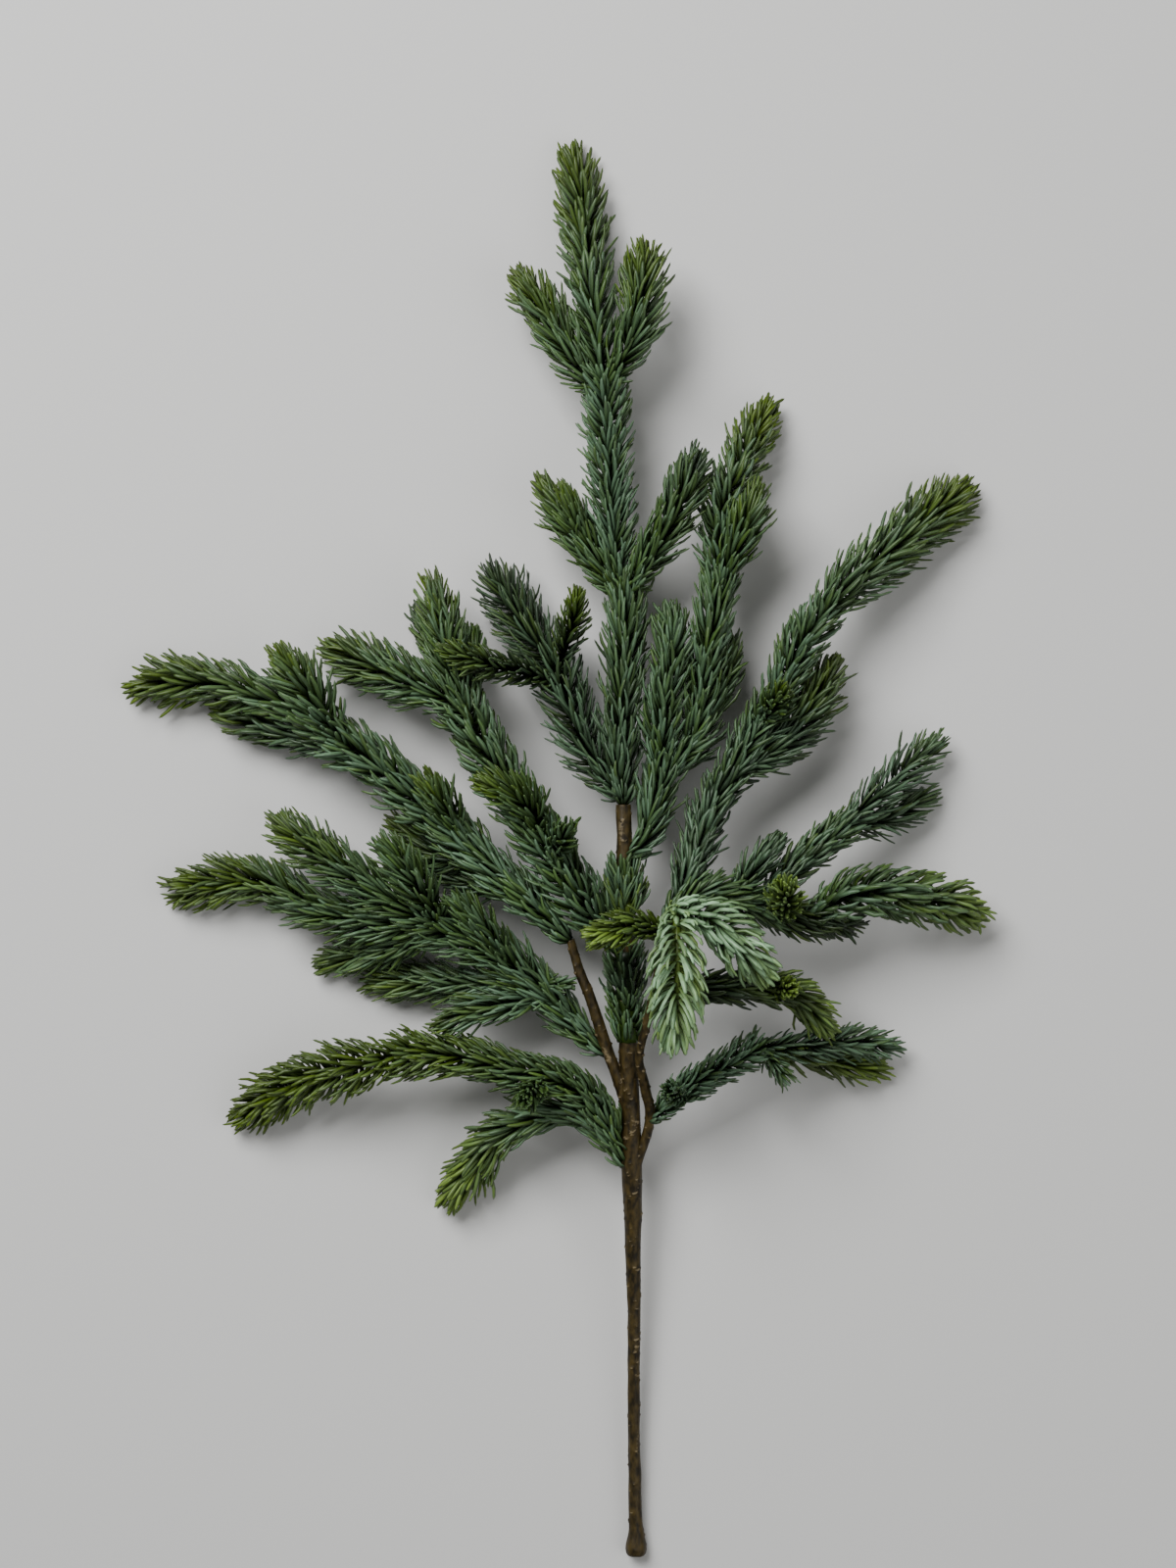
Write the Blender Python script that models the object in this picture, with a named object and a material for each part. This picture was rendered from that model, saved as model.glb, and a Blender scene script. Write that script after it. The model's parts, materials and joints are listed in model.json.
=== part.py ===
"""Blue spruce branch: an artificial spray of moulded needle sprigs on three brown stems.

The spray lies on its back on a flat surface, z = 0. Its foot points to -Y, its crown to +Y.
Every moulded sprig is one closed solid, and its needles are whorls of spikes that lean forward
and end where the needle tips end. All tables are in millimetres; the objects are in metres.
"""
import math

import bmesh
import bpy
import numpy as np

MM = 0.001

# Routes are laid out as they look from an eye straight above the spray. A raised point looks
# further out than it is, so each one is drawn in toward the point under the eye.
EYE_X = 16.5
EYE_Y = 33.5
EYE_HEIGHT = 1500.0

# Moves the whole spray, so that the middle of its box stands over the origin.
SHIFT_X = -1.2
SHIFT_Y = 0.0

GAP = 0.35            # air between two pieces that touch in the real spray
CURVE_SAMPLES = 24    # points worked out between two rows of a route
SAMPLE_STEP = 2.0     # spacing of the points that stand for an axis
FINE_STEP = 1.0       # spacing of the points that whorls are placed on
STEEP = 0.9           # share of up in a direction past which its frame starts from +Y

RING_STEP = 14.0      # spacing of two whorls along a shoot
SPIKES = 4            # spikes in one whorl
VALLEY = 0.52         # radius between two spikes, as a share of their reach
LEAN = 0.42           # how far a spike leans forward, as a share of the whorl spacing
DEPTH = 0.88          # a shoot is a little flatter than it is wide
SHOOT_CORE = 2.2      # radius of the moulded core that the needles grow from
SLEEVE_BASE = 6.4     # radius of a sleeve's lower end, round the stem that it is slid on
BASE_RUN = 17.0       # length over which the needles open from the core to their full reach
TIP_RUN = 20.0        # length over which they close again at a free tip
TIP_SPACE = 6.3       # length of a free tip beyond its last whorl
TIP_SHARE = 0.03      # least share of the squared reach that is left near a free tip
BLUNT_RADIUS = 4.0    # radius of a shoot's end where the next sprig goes on

TOUCH = 1.2           # how much nearer its own axis than the next sprig's a spike stays
HOLD_STEPS = 16       # steps in which a spike is drawn back to find that place
JOINT_ZONE = 32.0     # reach of the flat face between two sprigs that meet end to end
JOINT_POINTS = 3      # points of an axis's end that give the direction of that face
SAME_PLACE = 1.0      # a shoot that starts this near a stem's end goes on from it
NEAR = 34.0           # axes further apart than this can't touch
WELD = 0.002          # points nearer than this are one point

STEM_SIDES = 8
STEM_RING_STEP = 15.0
SIDE_STEM_RING_STEP = 11.0

# Each stem: its route (x, y, z) and its radius at those points.
STEMS = {
    "main_stem": (
        (41, -360, 5.3, 4.2),
        (41, -358.5, 5.3, 5.1),
        (41, -355, 5.5, 5.3),
        (41, -348, 6, 4.0),
        (40.5, -338, 6.8, 3.4),
        (40, -291, 10, 3.1),
        (40, -237, 15.6, 3.3),
        (39.5, -206, 19.8, 3.9),
        (39, -164, 27, 5.1),
        (37.5, -116, 34, 4.7),
        (35.5, -66, 38, 4.4),
        (35, -16, 40, 4.1),
        (34.5, 23, 40, 3.8),
    ),
    "left_stem": (
        (38.5, -152, 29, 2.7),
        (35.5, -130, 32, 3.0),
        (31.8, -116.5, 34, 3.1),
        (27.3, -105, 35, 3.0),
        (22.3, -90, 37, 2.9),
        (17.3, -75, 39, 2.7),
        (12, -62, 40, 2.4),
        (7.5, -46, 41, 2.0),
    ),
    "right_stem": (
        (40.5, -164, 28, 2.4),
        (48, -138, 34, 2.5),
        (45.5, -121, 42, 2.4),
        (42.5, -106, 48, 2.1),
        (46, -91, 54, 2.0),
        (50.5, -71, 60, 2.0),
        (55.5, -46, 66, 2.0),
        (58, -33, 70, 1.9),
    ),
}

# Each sprig: the stem or sprig that carries it, then its shoots. A shoot is its reach at the
# base, its reach at the tip, and its route. The first shoot starts on the carrier, and the
# others start on a shoot of their own sprig.
SPRIGS = {
    "leader_lower": ("main_stem", (
        (9, 11, ((34.5, 23, 40), (33.5, 45, 41), (33.5, 63, 42), (35, 93, 41),
                 (35.5, 113, 40), (34.5, 128, 39))),
        (13, 14, ((34, 26, 39), (14, 52, 34), (4, 75, 31), (-3, 92, 29), (-16, 113, 22),
                  (-35, 146, 9))),
        (9, 10, ((-1, 88, 31), (8, 113, 42), (12, 134, 50))),
        (8, 10, ((1, 85, 31), (-14, 90, 42), (-35, 95, 54), (-61, 103, 60))),
    )),
    "leader_upper": ("leader_lower", (
        (12, 13, ((34.5, 128, 39), (31, 143, 38), (28.5, 173, 37), (26.5, 213, 36),
                  (25.5, 232, 35))),
        (11, 12, ((34, 130, 39), (27, 138, 39), (12, 161, 36), (-8, 189, 27))),
        (7, 8, ((16, 156, 38), (9, 171, 46), (4, 187, 49))),
        (11, 12, ((34.5, 131, 39), (41, 139, 41), (58.5, 168, 44), (73.5, 205, 38))),
    )),
    "crown": ("leader_upper", (
        (13, 12, ((25.5, 232, 35), (20.5, 268, 31), (14.5, 318, 13), (9, 360, 5))),
        (11, 12, ((25, 235, 35), (14, 243, 35), (1, 264, 32), (-20, 296, 24))),
        (11, 12, ((25, 236, 35), (32, 246, 38), (41, 268, 41), (47, 310, 34))),
    )),
    "stem_needles_lower": ("main_stem", (
        (9, 11, ((36.8, -98, 35.8), (35.5, -66, 38), (35.2, -52, 38.8))),
    )),
    "stem_needles_upper": ("main_stem", (
        (11, 12, ((35.1, -34, 39.6), (35, -23, 39.9), (34.8, -11, 40.1))),
    )),
    "right_inner": ("main_stem", (
        (10, 10, ((34.8, -5, 40), (42, 1, 40), (47, 11, 39), (54, 36, 37), (69, 54, 36),
                  (74.5, 82, 37), (79.5, 113, 38), (82, 128, 38))),
        (10, 11, ((53, 33, 37), (54, 62, 42), (58.5, 94, 43), (59, 126, 39))),
        (8, 9, ((68, 52, 36), (82, 80, 29), (90, 110, 24))),
    )),
    "right_inner_tip": ("right_inner", (
        (11, 13, ((82, 128, 38), (85, 172, 36), (95, 198, 24), (110, 229, 9))),
        (9, 10, ((82.5, 131, 38), (95, 160, 47), (104, 187, 44))),
    )),
    "right_long": ("right_stem", (
        (9, 11, ((57, -38, 68), (64, -24, 60), (78, 17, 46), (87, 34, 42), (102, 60, 40),
                 (109, 71, 40), (125, 104, 39), (131, 113, 38))),
        (9, 9, ((105, 65, 40), (112, 75, 56), (117, 81, 71))),
        (12, 13, ((89, 38, 41), (107, 48, 36), (126, 67, 30), (144, 98, 21))),
    )),
    "right_long_tip": ("right_long", (
        (14, 16, ((131, 113, 38), (141, 126, 36), (163, 146, 26), (187, 166, 16),
                  (213, 186, 7))),
    )),
    "right_middle": ("right_stem", (
        (9, 10, ((58, -34, 70), (70, -25, 66), (84, -23, 60), (104, -29, 52), (120, -34, 48),
                 (129, -35, 46))),
        (8, 9, ((103, -29, 52), (123, -8, 44), (142, 8, 38))),
        (9, 10, ((90, -25, 57), (98, -14, 55), (116, 7, 50))),
        (11, 12, ((115, -33, 49), (117, -25, 66), (115, -17, 84))),
    )),
    "right_middle_upper_tip": ("right_middle", (
        (11, 13, ((142, 8, 38), (166, 29, 28), (198, 58, 12))),
        (8, 10, ((144, 10, 38), (169, 17, 22), (194, 29, 7))),
    )),
    "right_middle_lower_tip": ("right_middle", (
        (14, 14, ((129, -35, 46), (148, -24, 46), (168, -22, 40), (202, -28, 25),
                  (219, -37, 14))),
        (8, 9, ((133, -34, 46), (143, -39, 34), (157, -35, 25))),
    )),
    "front_left": ("right_stem", (
        (9, 11, ((56, -43, 67), (44, -36, 74), (29, -39, 78), (11, -44, 79))),
    )),
    "front_hanging": ("right_stem", (
        (6, 6, ((58.3, -33, 72), (60, -31, 80), (61, -31, 94))),
        (16, 18, ((61, -32, 88), (62, -44, 97), (62, -66, 100), (60, -104, 94))),
        (12, 15, ((61, -31, 87), (75, -33, 90), (89, -44, 88), (110, -68, 79))),
    )),
    "front_right": ("right_stem", (
        (8, 10, ((50.5, -71, 60), (64, -71, 61), (79, -71, 62), (99, -70, 61), (114, -71, 60),
                 (122, -74, 57), (131, -83, 49), (142, -94, 38))),
        (9, 10, ((112, -71, 60), (118, -71, 72), (120.5, -70, 85))),
    )),
    "lower_right": ("right_stem", (
        (8, 10, ((47.5, -138, 34), (54, -133, 35), (64, -124, 38), (78, -115, 40),
                 (102, -102, 39))),
        (10, 11, ((63, -125, 37), (60, -124, 50), (57, -122, 63))),
    )),
    "lower_right_tip": ("lower_right", (
        (10, 10, ((102, -102, 39), (129, -99.5, 35), (151.5, -98.5, 24), (176, -101, 12))),
        (8, 9, ((109, -101.5, 38), (125, -105, 29), (146.5, -109, 16), (170, -113, 6))),
        (8, 10, ((105, -102, 39), (112, -110, 40), (121, -121, 41))),
    )),
    "left_long": ("left_stem", (
        (9, 14, ((7.5, -46, 41), (-9.5, -29, 42), (-26, -16, 41), (-48.5, 6, 39),
                 (-68.5, 23.5, 37), (-91, 43.5, 36), (-104, 51, 35))),
        (8, 9, ((-46, 4, 39), (-57, 23, 52), (-69, 39, 58))),
        (8, 9, ((-38, -4, 40), (-55, -4, 28), (-69, 6, 19), (-85, 15, 11))),
        (8, 9, ((-22, -19, 41), (-38, -17, 29), (-58, -9, 19), (-81, 0, 11))),
    )),
    "left_long_tip": ("left_long", (
        (12, 13, ((-104, 51, 35), (-133.5, 72.5, 33), (-163.5, 82.5, 22), (-188.5, 86, 13),
                  (-218.5, 82, 6))),
        (13, 14, ((-107, 53, 35), (-122, 74, 43), (-142.5, 104, 40))),
        (9, 10, ((-107, 52, 35), (-138, 60, 20), (-175, 72, 6))),
    )),
    "upper_left": ("main_stem", (
        (13, 14, ((35.4, -49, 39), (24, -38, 44), (9, -20, 48), (-7, 5, 49), (-20, 26, 48),
                  (-34, 48, 46), (-45, 68, 44))),
        (9, 11, ((-7, 6, 49), (-13, 20, 61), (-24, 29, 67), (-42, 35, 66))),
        (10, 11, ((-2, -3, 49), (3, 5, 66), (6, 14, 80))),
    )),
    "upper_left_tip": ("upper_left", (
        (13, 15, ((-45, 68, 44), (-54, 76, 43), (-71, 84, 39), (-93, 94, 24),
                  (-118, 103.5, 8))),
        (10, 12, ((-46, 71, 44), (-51, 85, 44), (-56, 108, 41), (-64, 140, 31))),
        (8, 9, ((-54, 78, 42), (-61, 103, 24), (-72, 124, 8))),
        (7, 8, ((-45, 70, 44), (-43, 92, 35), (-43, 115, 26))),
    )),
    "left_middle": ("left_stem", (
        (8, 15, ((27, -105, 35), (13, -92.5, 34), (2, -80.5, 35), (-9, -70, 36),
                 (-25, -56.5, 38), (-43, -46, 38), (-57, -41, 38))),
        (8, 10, ((-9, -71, 36), (-28, -69, 29), (-58, -68, 16), (-98, -67, 6))),
        (8, 9, ((-4, -75, 36), (-21, -79, 39), (-38.5, -82, 40), (-62, -92, 36))),
        (8, 9, ((-24, -58, 38), (-35, -43, 49), (-54, -23, 56))),
        (8, 9, ((-9, -70, 36), (1, -69, 41), (12, -70, 44))),
    )),
    "left_middle_tip": ("left_middle", (
        (12, 13, ((-57, -41, 38), (-70, -34, 40), (-113.5, -6.5, 37), (-145, 17, 26))),
        (11, 13, ((-60, -40, 38), (-80, -38, 32), (-118.5, -31, 25), (-153.5, -14.5, 15),
                  (-199, -25, 6))),
        (10, 12, ((-60, -39, 39), (-64, -29, 48), (-75, -13, 55), (-91, 7, 54))),
        (8, 9, ((-60, -40, 38), (-84, -50, 23), (-122, -59, 6))),
    )),
    "lower_left": ("main_stem", (
        (7, 13, ((39.4, -160, 27.5), (31, -147, 31), (20, -130, 37), (3, -118.5, 42),
                  (-19, -113, 42), (-47.5, -106, 40), (-76, -104.5, 38))),
        (9, 10, ((-7, -119, 42), (-13, -125, 59), (-15, -128, 76))),
    )),
    "lower_left_tip": ("lower_left", (
        (15, 14, ((-76, -104.5, 38), (-104, -111, 34), (-131.5, -119, 21), (-165, -139, 7))),
    )),
    "lower_left_side": ("main_stem", (
        (8, 13, ((39.5, -169, 26), (32, -155, 27), (19, -140, 30), (3, -134.5, 31),
                 (-21, -141, 30), (-37, -155, 20), (-57, -182, 7))),
    )),
}

# Sprigs that are sleeves round the main stem, with a bore that it runs through.
SLEEVES = ("stem_needles_lower", "stem_needles_upper")

BARK_ROUGHNESS = 0.6
NEEDLE_ROUGHNESS = 0.55
BARK = (0.060, 0.036, 0.020)
BLUE_GREEN = (0.050, 0.095, 0.070)
OLIVE_GREEN = (0.080, 0.130, 0.030)
DARK_GREEN = (0.020, 0.045, 0.025)
PALE_GREEN = (0.200, 0.360, 0.240)

SPRIG_COLOURS = {
    "leader_lower": DARK_GREEN,
    "front_left": OLIVE_GREEN,
    "front_hanging": PALE_GREEN,
    "front_right": DARK_GREEN,
    "lower_left_tip": OLIVE_GREEN,
    "lower_left_side": OLIVE_GREEN,
    "right_middle_lower_tip": OLIVE_GREEN,
}


def clear_scene():
    for old in list(bpy.data.objects):
        bpy.data.objects.remove(old, do_unlink=True)


def drawn_in(point):
    """Return the real place of a point that is given as it looks from the eye."""
    x, y, z = point[:3]
    keep = 1.0 - z / EYE_HEIGHT
    return np.array((
        EYE_X + (x - EYE_X) * keep + SHIFT_X,
        EYE_Y + (y - EYE_Y) * keep + SHIFT_Y,
        z,
    ))


def smooth_line(values, step):
    """Return points about step apart on a smooth curve through the rows of values.

    The first three columns are a place. Any others, such as a radius, run along with it.
    """
    rows = np.array(values, dtype=float)
    before = 2 * rows[0] - rows[1]
    after = 2 * rows[-1] - rows[-2]
    control = np.vstack((before, rows, after))
    dense = []
    for a, b, c, d in zip(control, control[1:], control[2:], control[3:]):
        for t in np.linspace(0.0, 1.0, CURVE_SAMPLES, endpoint=False):
            dense.append(0.5 * (2 * b + (c - a) * t + (2 * a - 5 * b + 4 * c - d) * t ** 2
                                + (3 * b - 3 * c + d - a) * t ** 3))
    dense.append(rows[-1])
    return even_line(np.array(dense), step)


def line_length(points):
    return float(np.linalg.norm(np.diff(points[:, :3], axis=0), axis=1).sum())


def even_line(dense, step):
    """Return the line again with its points evenly spaced, about step apart."""
    legs = np.linalg.norm(np.diff(dense[:, :3], axis=0), axis=1)
    along = np.concatenate(([0.0], np.cumsum(legs)))
    count = max(2, int(round(along[-1] / step)) + 1)
    places = np.linspace(0.0, along[-1], count)
    columns = [np.interp(places, along, dense[:, i]) for i in range(dense.shape[1])]
    return np.stack(columns, axis=1)


def line_frames(points):
    """Return the direction, side and top vectors at each point, turned as little as can be."""
    ways = np.gradient(points[:, :3], axis=0)
    ways /= np.linalg.norm(ways, axis=1)[:, None]
    upright = abs(ways[0][2]) > STEEP
    side = np.cross(ways[0], (0.0, 1.0, 0.0) if upright else (0.0, 0.0, 1.0))
    sides = []
    for way in ways:
        side = side - way * side.dot(way)
        side /= np.linalg.norm(side)
        sides.append(side)
    sides = np.array(sides)
    return ways, sides, np.cross(sides, ways)


def clearance(points, line):
    """Return how far each point is outside the core round a line, with its place on the line.

    The line's fourth column is the radius of that core.
    """
    gaps = np.sqrt(((points[:, None, :3] - line[None, :, :3]) ** 2).sum(axis=2)) - line[:, 3]
    nearest = gaps.argmin(axis=1)
    return gaps.min(axis=1), nearest


def stem_line(name, step=SAMPLE_STEP):
    rows = [tuple(drawn_in(row)) + (row[3],) for row in STEMS[name]]
    return smooth_line(rows, step)


def shoot_line(route):
    rows = [tuple(drawn_in(point)) + (SHOOT_CORE,) for point in route]
    return smooth_line(rows, SAMPLE_STEP)


def clear_of_stem(line, stem):
    """Cut away the start of a line that lies inside the stem that it grows from."""
    room, _ = clearance(line, stem)
    return line[int(np.argmax(room >= GAP)):]


def pushed_out(points, stem):
    """Move points that lie in a stem, or within the gap round it, out to the gap."""
    room, nearest = clearance(points, stem)
    centre = stem[nearest, :3]
    far = room + stem[nearest, 3]
    grow = np.where(room < GAP, (far - room + GAP) / far, 1.0)
    return centre + (points - centre) * grow[:, None]


def on_surface(points):
    """Bend what would reach below the surface that the spray lies on flat onto it."""
    return np.maximum(points, (-np.inf, -np.inf, 0.0))


def material(name, colour, roughness):
    """Return a plain coloured material."""
    made = bpy.data.materials.new(name)
    made.use_nodes = True
    shader = made.node_tree.nodes["Principled BSDF"]
    shader.inputs["Base Color"].default_value = (*colour, 1.0)
    shader.inputs["Roughness"].default_value = roughness
    shader.inputs["Metallic"].default_value = 0.0
    made.diffuse_color = (*colour, 1.0)
    return made


def loft_object(name, rings, base=None, apex=None):
    """Return a closed mesh through rings of equal length.

    Each end is flat, or closed by a fan of faces round the point given for it.
    """
    mesh = bpy.data.meshes.new(name)
    shape = bmesh.new()
    loops = [[shape.verts.new(point * MM) for point in ring] for ring in rings]
    count = len(loops[0])
    for low, high in zip(loops, loops[1:]):
        for i in range(count):
            j = (i + 1) % count
            shape.faces.new((low[i], low[j], high[j], high[i]))
    for loop, middle in ((loops[0], base), (loops[-1], apex)):
        if middle is None:
            shape.faces.new(loop)
            continue
        hub = shape.verts.new(middle * MM)
        for i in range(count):
            shape.faces.new((loop[i], loop[(i + 1) % count], hub))
    bmesh.ops.recalc_face_normals(shape, faces=shape.faces)
    bmesh.ops.triangulate(shape, faces=shape.faces)
    shape.to_mesh(mesh)
    shape.free()
    made = bpy.data.objects.new(name, mesh)
    bpy.context.collection.objects.link(made)
    return made


def round_rings(line, grow=0.0):
    """Return the rings of a round tube along a line whose fourth column is its radius."""
    _, sides, tops = line_frames(line)
    turns = np.arange(STEM_SIDES) * 2 * math.pi / STEM_SIDES
    rings = []
    for row, side, top in zip(line, sides, tops):
        out = np.cos(turns)[:, None] * side + np.sin(turns)[:, None] * top
        rings.append(row[:3] + out * (row[3] + grow))
    return rings


def build_stem(name, bark, main_line):
    """Make one brown stem. A side stem is moulded against the main stem where it leaves it."""
    line = stem_line(name, STEM_RING_STEP)
    if name != "main_stem":
        line = even_line(clear_of_stem(stem_line(name), main_line), SIDE_STEM_RING_STEP)
    rings = round_rings(line)
    base = line[:1, :3]
    if name != "main_stem":
        rings = [pushed_out(ring, main_line) for ring in rings]
        base = pushed_out(base, main_line)
    rings = [on_surface(ring) for ring in rings]
    made = loft_object(name, rings, base[0])
    made.data.shade_smooth()
    made.data.materials.append(bark)
    return made


class Shoot:
    """One needled shoot: its axis, its reach, and what it has to stay clear of."""

    def __init__(self, sprig, reach, route, blunt):
        self.sprig = sprig
        self.reach = reach
        self.line = shoot_line(route)
        self.blunt = blunt or sprig in SLEEVES
        self.base_radius = SLEEVE_BASE if sprig in SLEEVES else SHOOT_CORE

    def whorls(self):
        """Return, for each whorl, its points' feet, ways out, reach and forward lean."""
        length = line_length(self.line)
        count = max(3, int(round(length / RING_STEP)) + 1)
        end = length if self.blunt else length - TIP_SPACE
        step = end / (count - 1)
        line = even_line(self.line, FINE_STEP)
        ways, sides, tops = line_frames(line)
        around = 2 * SPIKES
        turns = np.arange(around) * 2 * math.pi / around
        for i in range(count):
            along = i * step
            k = min(len(line) - 1, int(round(along / length * (len(line) - 1))))
            share = along / length
            full = self.reach[0] + (self.reach[1] - self.reach[0]) * share
            opening = min(1.0, along / BASE_RUN)
            radius = self.base_radius + (full - self.base_radius) * math.sin(opening * math.pi / 2)
            if not self.blunt:
                closing = max(0.0, 1.0 - (length - along) / TIP_RUN)
                radius *= math.sqrt(max(TIP_SHARE, 1.0 - closing ** 2))
            flat_end = i == 0 or (self.blunt and i == count - 1)
            if flat_end:
                radius = self.base_radius if i == 0 else BLUNT_RADIUS
            spikes = np.arange(around) % 2 == i % 2
            valley = max(radius * VALLEY, SHOOT_CORE)
            radii = np.where(spikes | flat_end, radius, valley)
            lean = np.where(spikes & (not flat_end), LEAN * step, 0.0)
            out = np.cos(turns)[:, None] * sides[k] + np.sin(turns)[:, None] * tops[k] * DEPTH
            yield line[k, :3], out, radii, ways[k] * lean[:, None]


def drawn_back(shoot, foot, out, radii, lean, others):
    """Shorten the spikes that would come nearer another sprig's axis than their own."""
    best = np.full(len(radii), -1.0)
    for k in range(HOLD_STEPS):
        share = 1.0 - k / HOLD_STEPS
        tips = foot + out * (radii * share)[:, None] + lean * share
        own, _ = clearance(tips, shoot.line)
        clear = np.ones(len(radii), dtype=bool)
        for line in others:
            clear &= clearance(tips, line)[0] >= own + TOUCH
        best = np.where((best < 0) & clear, share, best)
    best = np.where(best < 0, 1.0 / HOLD_STEPS, best)
    return foot + out * (radii * best)[:, None] + lean * best[:, None]


def neighbours(shoot, shoots, stems, joined):
    """Return the axes of other sprigs and stems that pass near this shoot."""
    found = [other.line for other in shoots
             if other.sprig != shoot.sprig and (shoot.sprig, other.sprig) not in joined]
    if shoot.sprig not in SLEEVES:
        found += list(stems.values())
    return [line for line in found if clearance(shoot.line, line)[0].min() < NEAR]


def kept_beyond(points, place, way, side):
    """Hold points near a joint before its flat face (side -1) or after it (side 1)."""
    away = (points - place) @ way
    near = np.linalg.norm(points - place, axis=1) < JOINT_ZONE
    wrong = near & (away * side < GAP / 2)
    move = np.where(wrong, side * GAP / 2 - away, 0.0)
    return points + move[:, None] * way


def fused(parts):
    """Join overlapping shoots into one closed solid, and return it as the first object."""
    first = parts[0]
    for other in parts[1:]:
        union = first.modifiers.new("fuse", "BOOLEAN")
        union.operation = "UNION"
        union.solver = "EXACT"
        union.object = other
        apply_modifiers(first)
        bpy.data.objects.remove(other, do_unlink=True)
    return first


def apply_modifiers(made):
    """Replace an object's mesh by the mesh that its modifiers give."""
    bpy.context.view_layer.update()
    graph = bpy.context.evaluated_depsgraph_get()
    mesh = bpy.data.meshes.new_from_object(made.evaluated_get(graph))
    made.modifiers.clear()
    made.data = mesh
    mesh.name = made.name


def bored(made, stem):
    """Cut the bore that the main stem runs through."""
    cutter = loft_object("bore", round_rings(even_line(stem, STEM_RING_STEP), GAP))
    cut = made.modifiers.new("bore", "BOOLEAN")
    cut.operation = "DIFFERENCE"
    cut.solver = "EXACT"
    cut.object = cutter
    apply_modifiers(made)
    bpy.data.objects.remove(cutter, do_unlink=True)


def tidy(made):
    """Weld the points that a Boolean leaves close together, and make all faces triangles."""
    shape = bmesh.new()
    shape.from_mesh(made.data)
    bmesh.ops.remove_doubles(shape, verts=shape.verts, dist=WELD * MM)
    bmesh.ops.triangulate(shape, faces=shape.faces)
    shape.to_mesh(made.data)
    shape.free()


def plan_shoots(stems):
    """Return every shoot, the pairs that meet, and the flat joints between sprigs."""
    shoots = []
    joined = set()
    joints = {}
    starts = {shoot_list[0][2][0]: name for name, (_, shoot_list) in SPRIGS.items()}
    for name, (carrier, shoot_list) in SPRIGS.items():
        for number, (base, tip, route) in enumerate(shoot_list):
            follower = starts.get(route[-1])
            shoot = Shoot(name, (base, tip), route, bool(follower))
            shoots.append(shoot)
            if follower:
                add_joint(joints, joined, name, follower, shoot.line)
            if number > 0 or carrier not in stems or name in SLEEVES:
                continue
            if meets_end(shoot.line, stems[carrier]):
                add_joint(joints, joined, carrier, name, stems[carrier])
            else:
                shoot.line = clear_of_stem(shoot.line, stems[carrier])
    return shoots, joined, joints


def meets_end(line, stem):
    """Say whether a line starts where the stem that carries it ends."""
    return np.linalg.norm(line[0, :3] - stem[-1, :3]) <= SAME_PLACE


def add_joint(joints, joined, before, after, line):
    """Note the flat face at a line's end, where the sprig after it goes on."""
    end = line[-1, :3]
    way = end - line[-JOINT_POINTS, :3]
    way /= np.linalg.norm(way)
    joints.setdefault(before, []).append((end, way, -1))
    joints.setdefault(after, []).append((end, way, 1))
    joined.add((before, after))
    joined.add((after, before))


def build_shoot(shoot, number, shoots, stems, joined, joints):
    """Make the closed, spiky solid of one shoot."""
    others = neighbours(shoot, shoots, stems, joined)
    rings = []
    for foot, out, radii, lean in shoot.whorls():
        ring = foot + out * radii[:, None]
        if rings:
            ring = drawn_back(shoot, foot, out, radii, lean, others)
        for place, way, side in joints.get(shoot.sprig, ()):
            ring = kept_beyond(ring, place, way, side)
        if shoot.sprig not in SLEEVES:
            for stem in stems.values():
                ring = pushed_out(ring, stem)
        rings.append(on_surface(ring))
    base = rings[0].mean(axis=0)[None, :]
    if shoot.sprig not in SLEEVES:
        for stem in stems.values():
            base = pushed_out(base, stem)
    apex = None if shoot.blunt else on_surface(shoot.line[-1, :3])
    return loft_object(f"{shoot.sprig}_{number}", rings, base[0], apex)


def main():
    clear_scene()
    stems = {name: stem_line(name) for name in STEMS}
    bark = material("bark_brown", BARK, BARK_ROUGHNESS)
    for name in STEMS:
        build_stem(name, bark, stems["main_stem"])
    shoots, joined, joints = plan_shoots(stems)
    for name in SPRIGS:
        own = [shoot for shoot in shoots if shoot.sprig == name]
        parts = [build_shoot(shoot, i, shoots, stems, joined, joints)
                 for i, shoot in enumerate(own)]
        made = fused(parts)
        if name in SLEEVES:
            bored(made, stems["main_stem"])
        tidy(made)
        made.name = name
        made.data.name = name
        made.data.materials.clear()
        colour = SPRIG_COLOURS.get(name, BLUE_GREEN)
        made.data.materials.append(material(f"{name}_needles", colour, NEEDLE_ROUGHNESS))


main()
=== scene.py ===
"""Dresses the blue spruce branch: moulded needles on every sprig, and bark on its three stems.

Tables are in millimetres, laid out as the spray looks from straight above. Meshes are in metres.
Needles are green plastic with a blue green bloom sprayed on from the front, so a needle is
green at its root and underneath, and bluer where it faces up.
"""
import json
import math
from typing import NamedTuple

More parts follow.
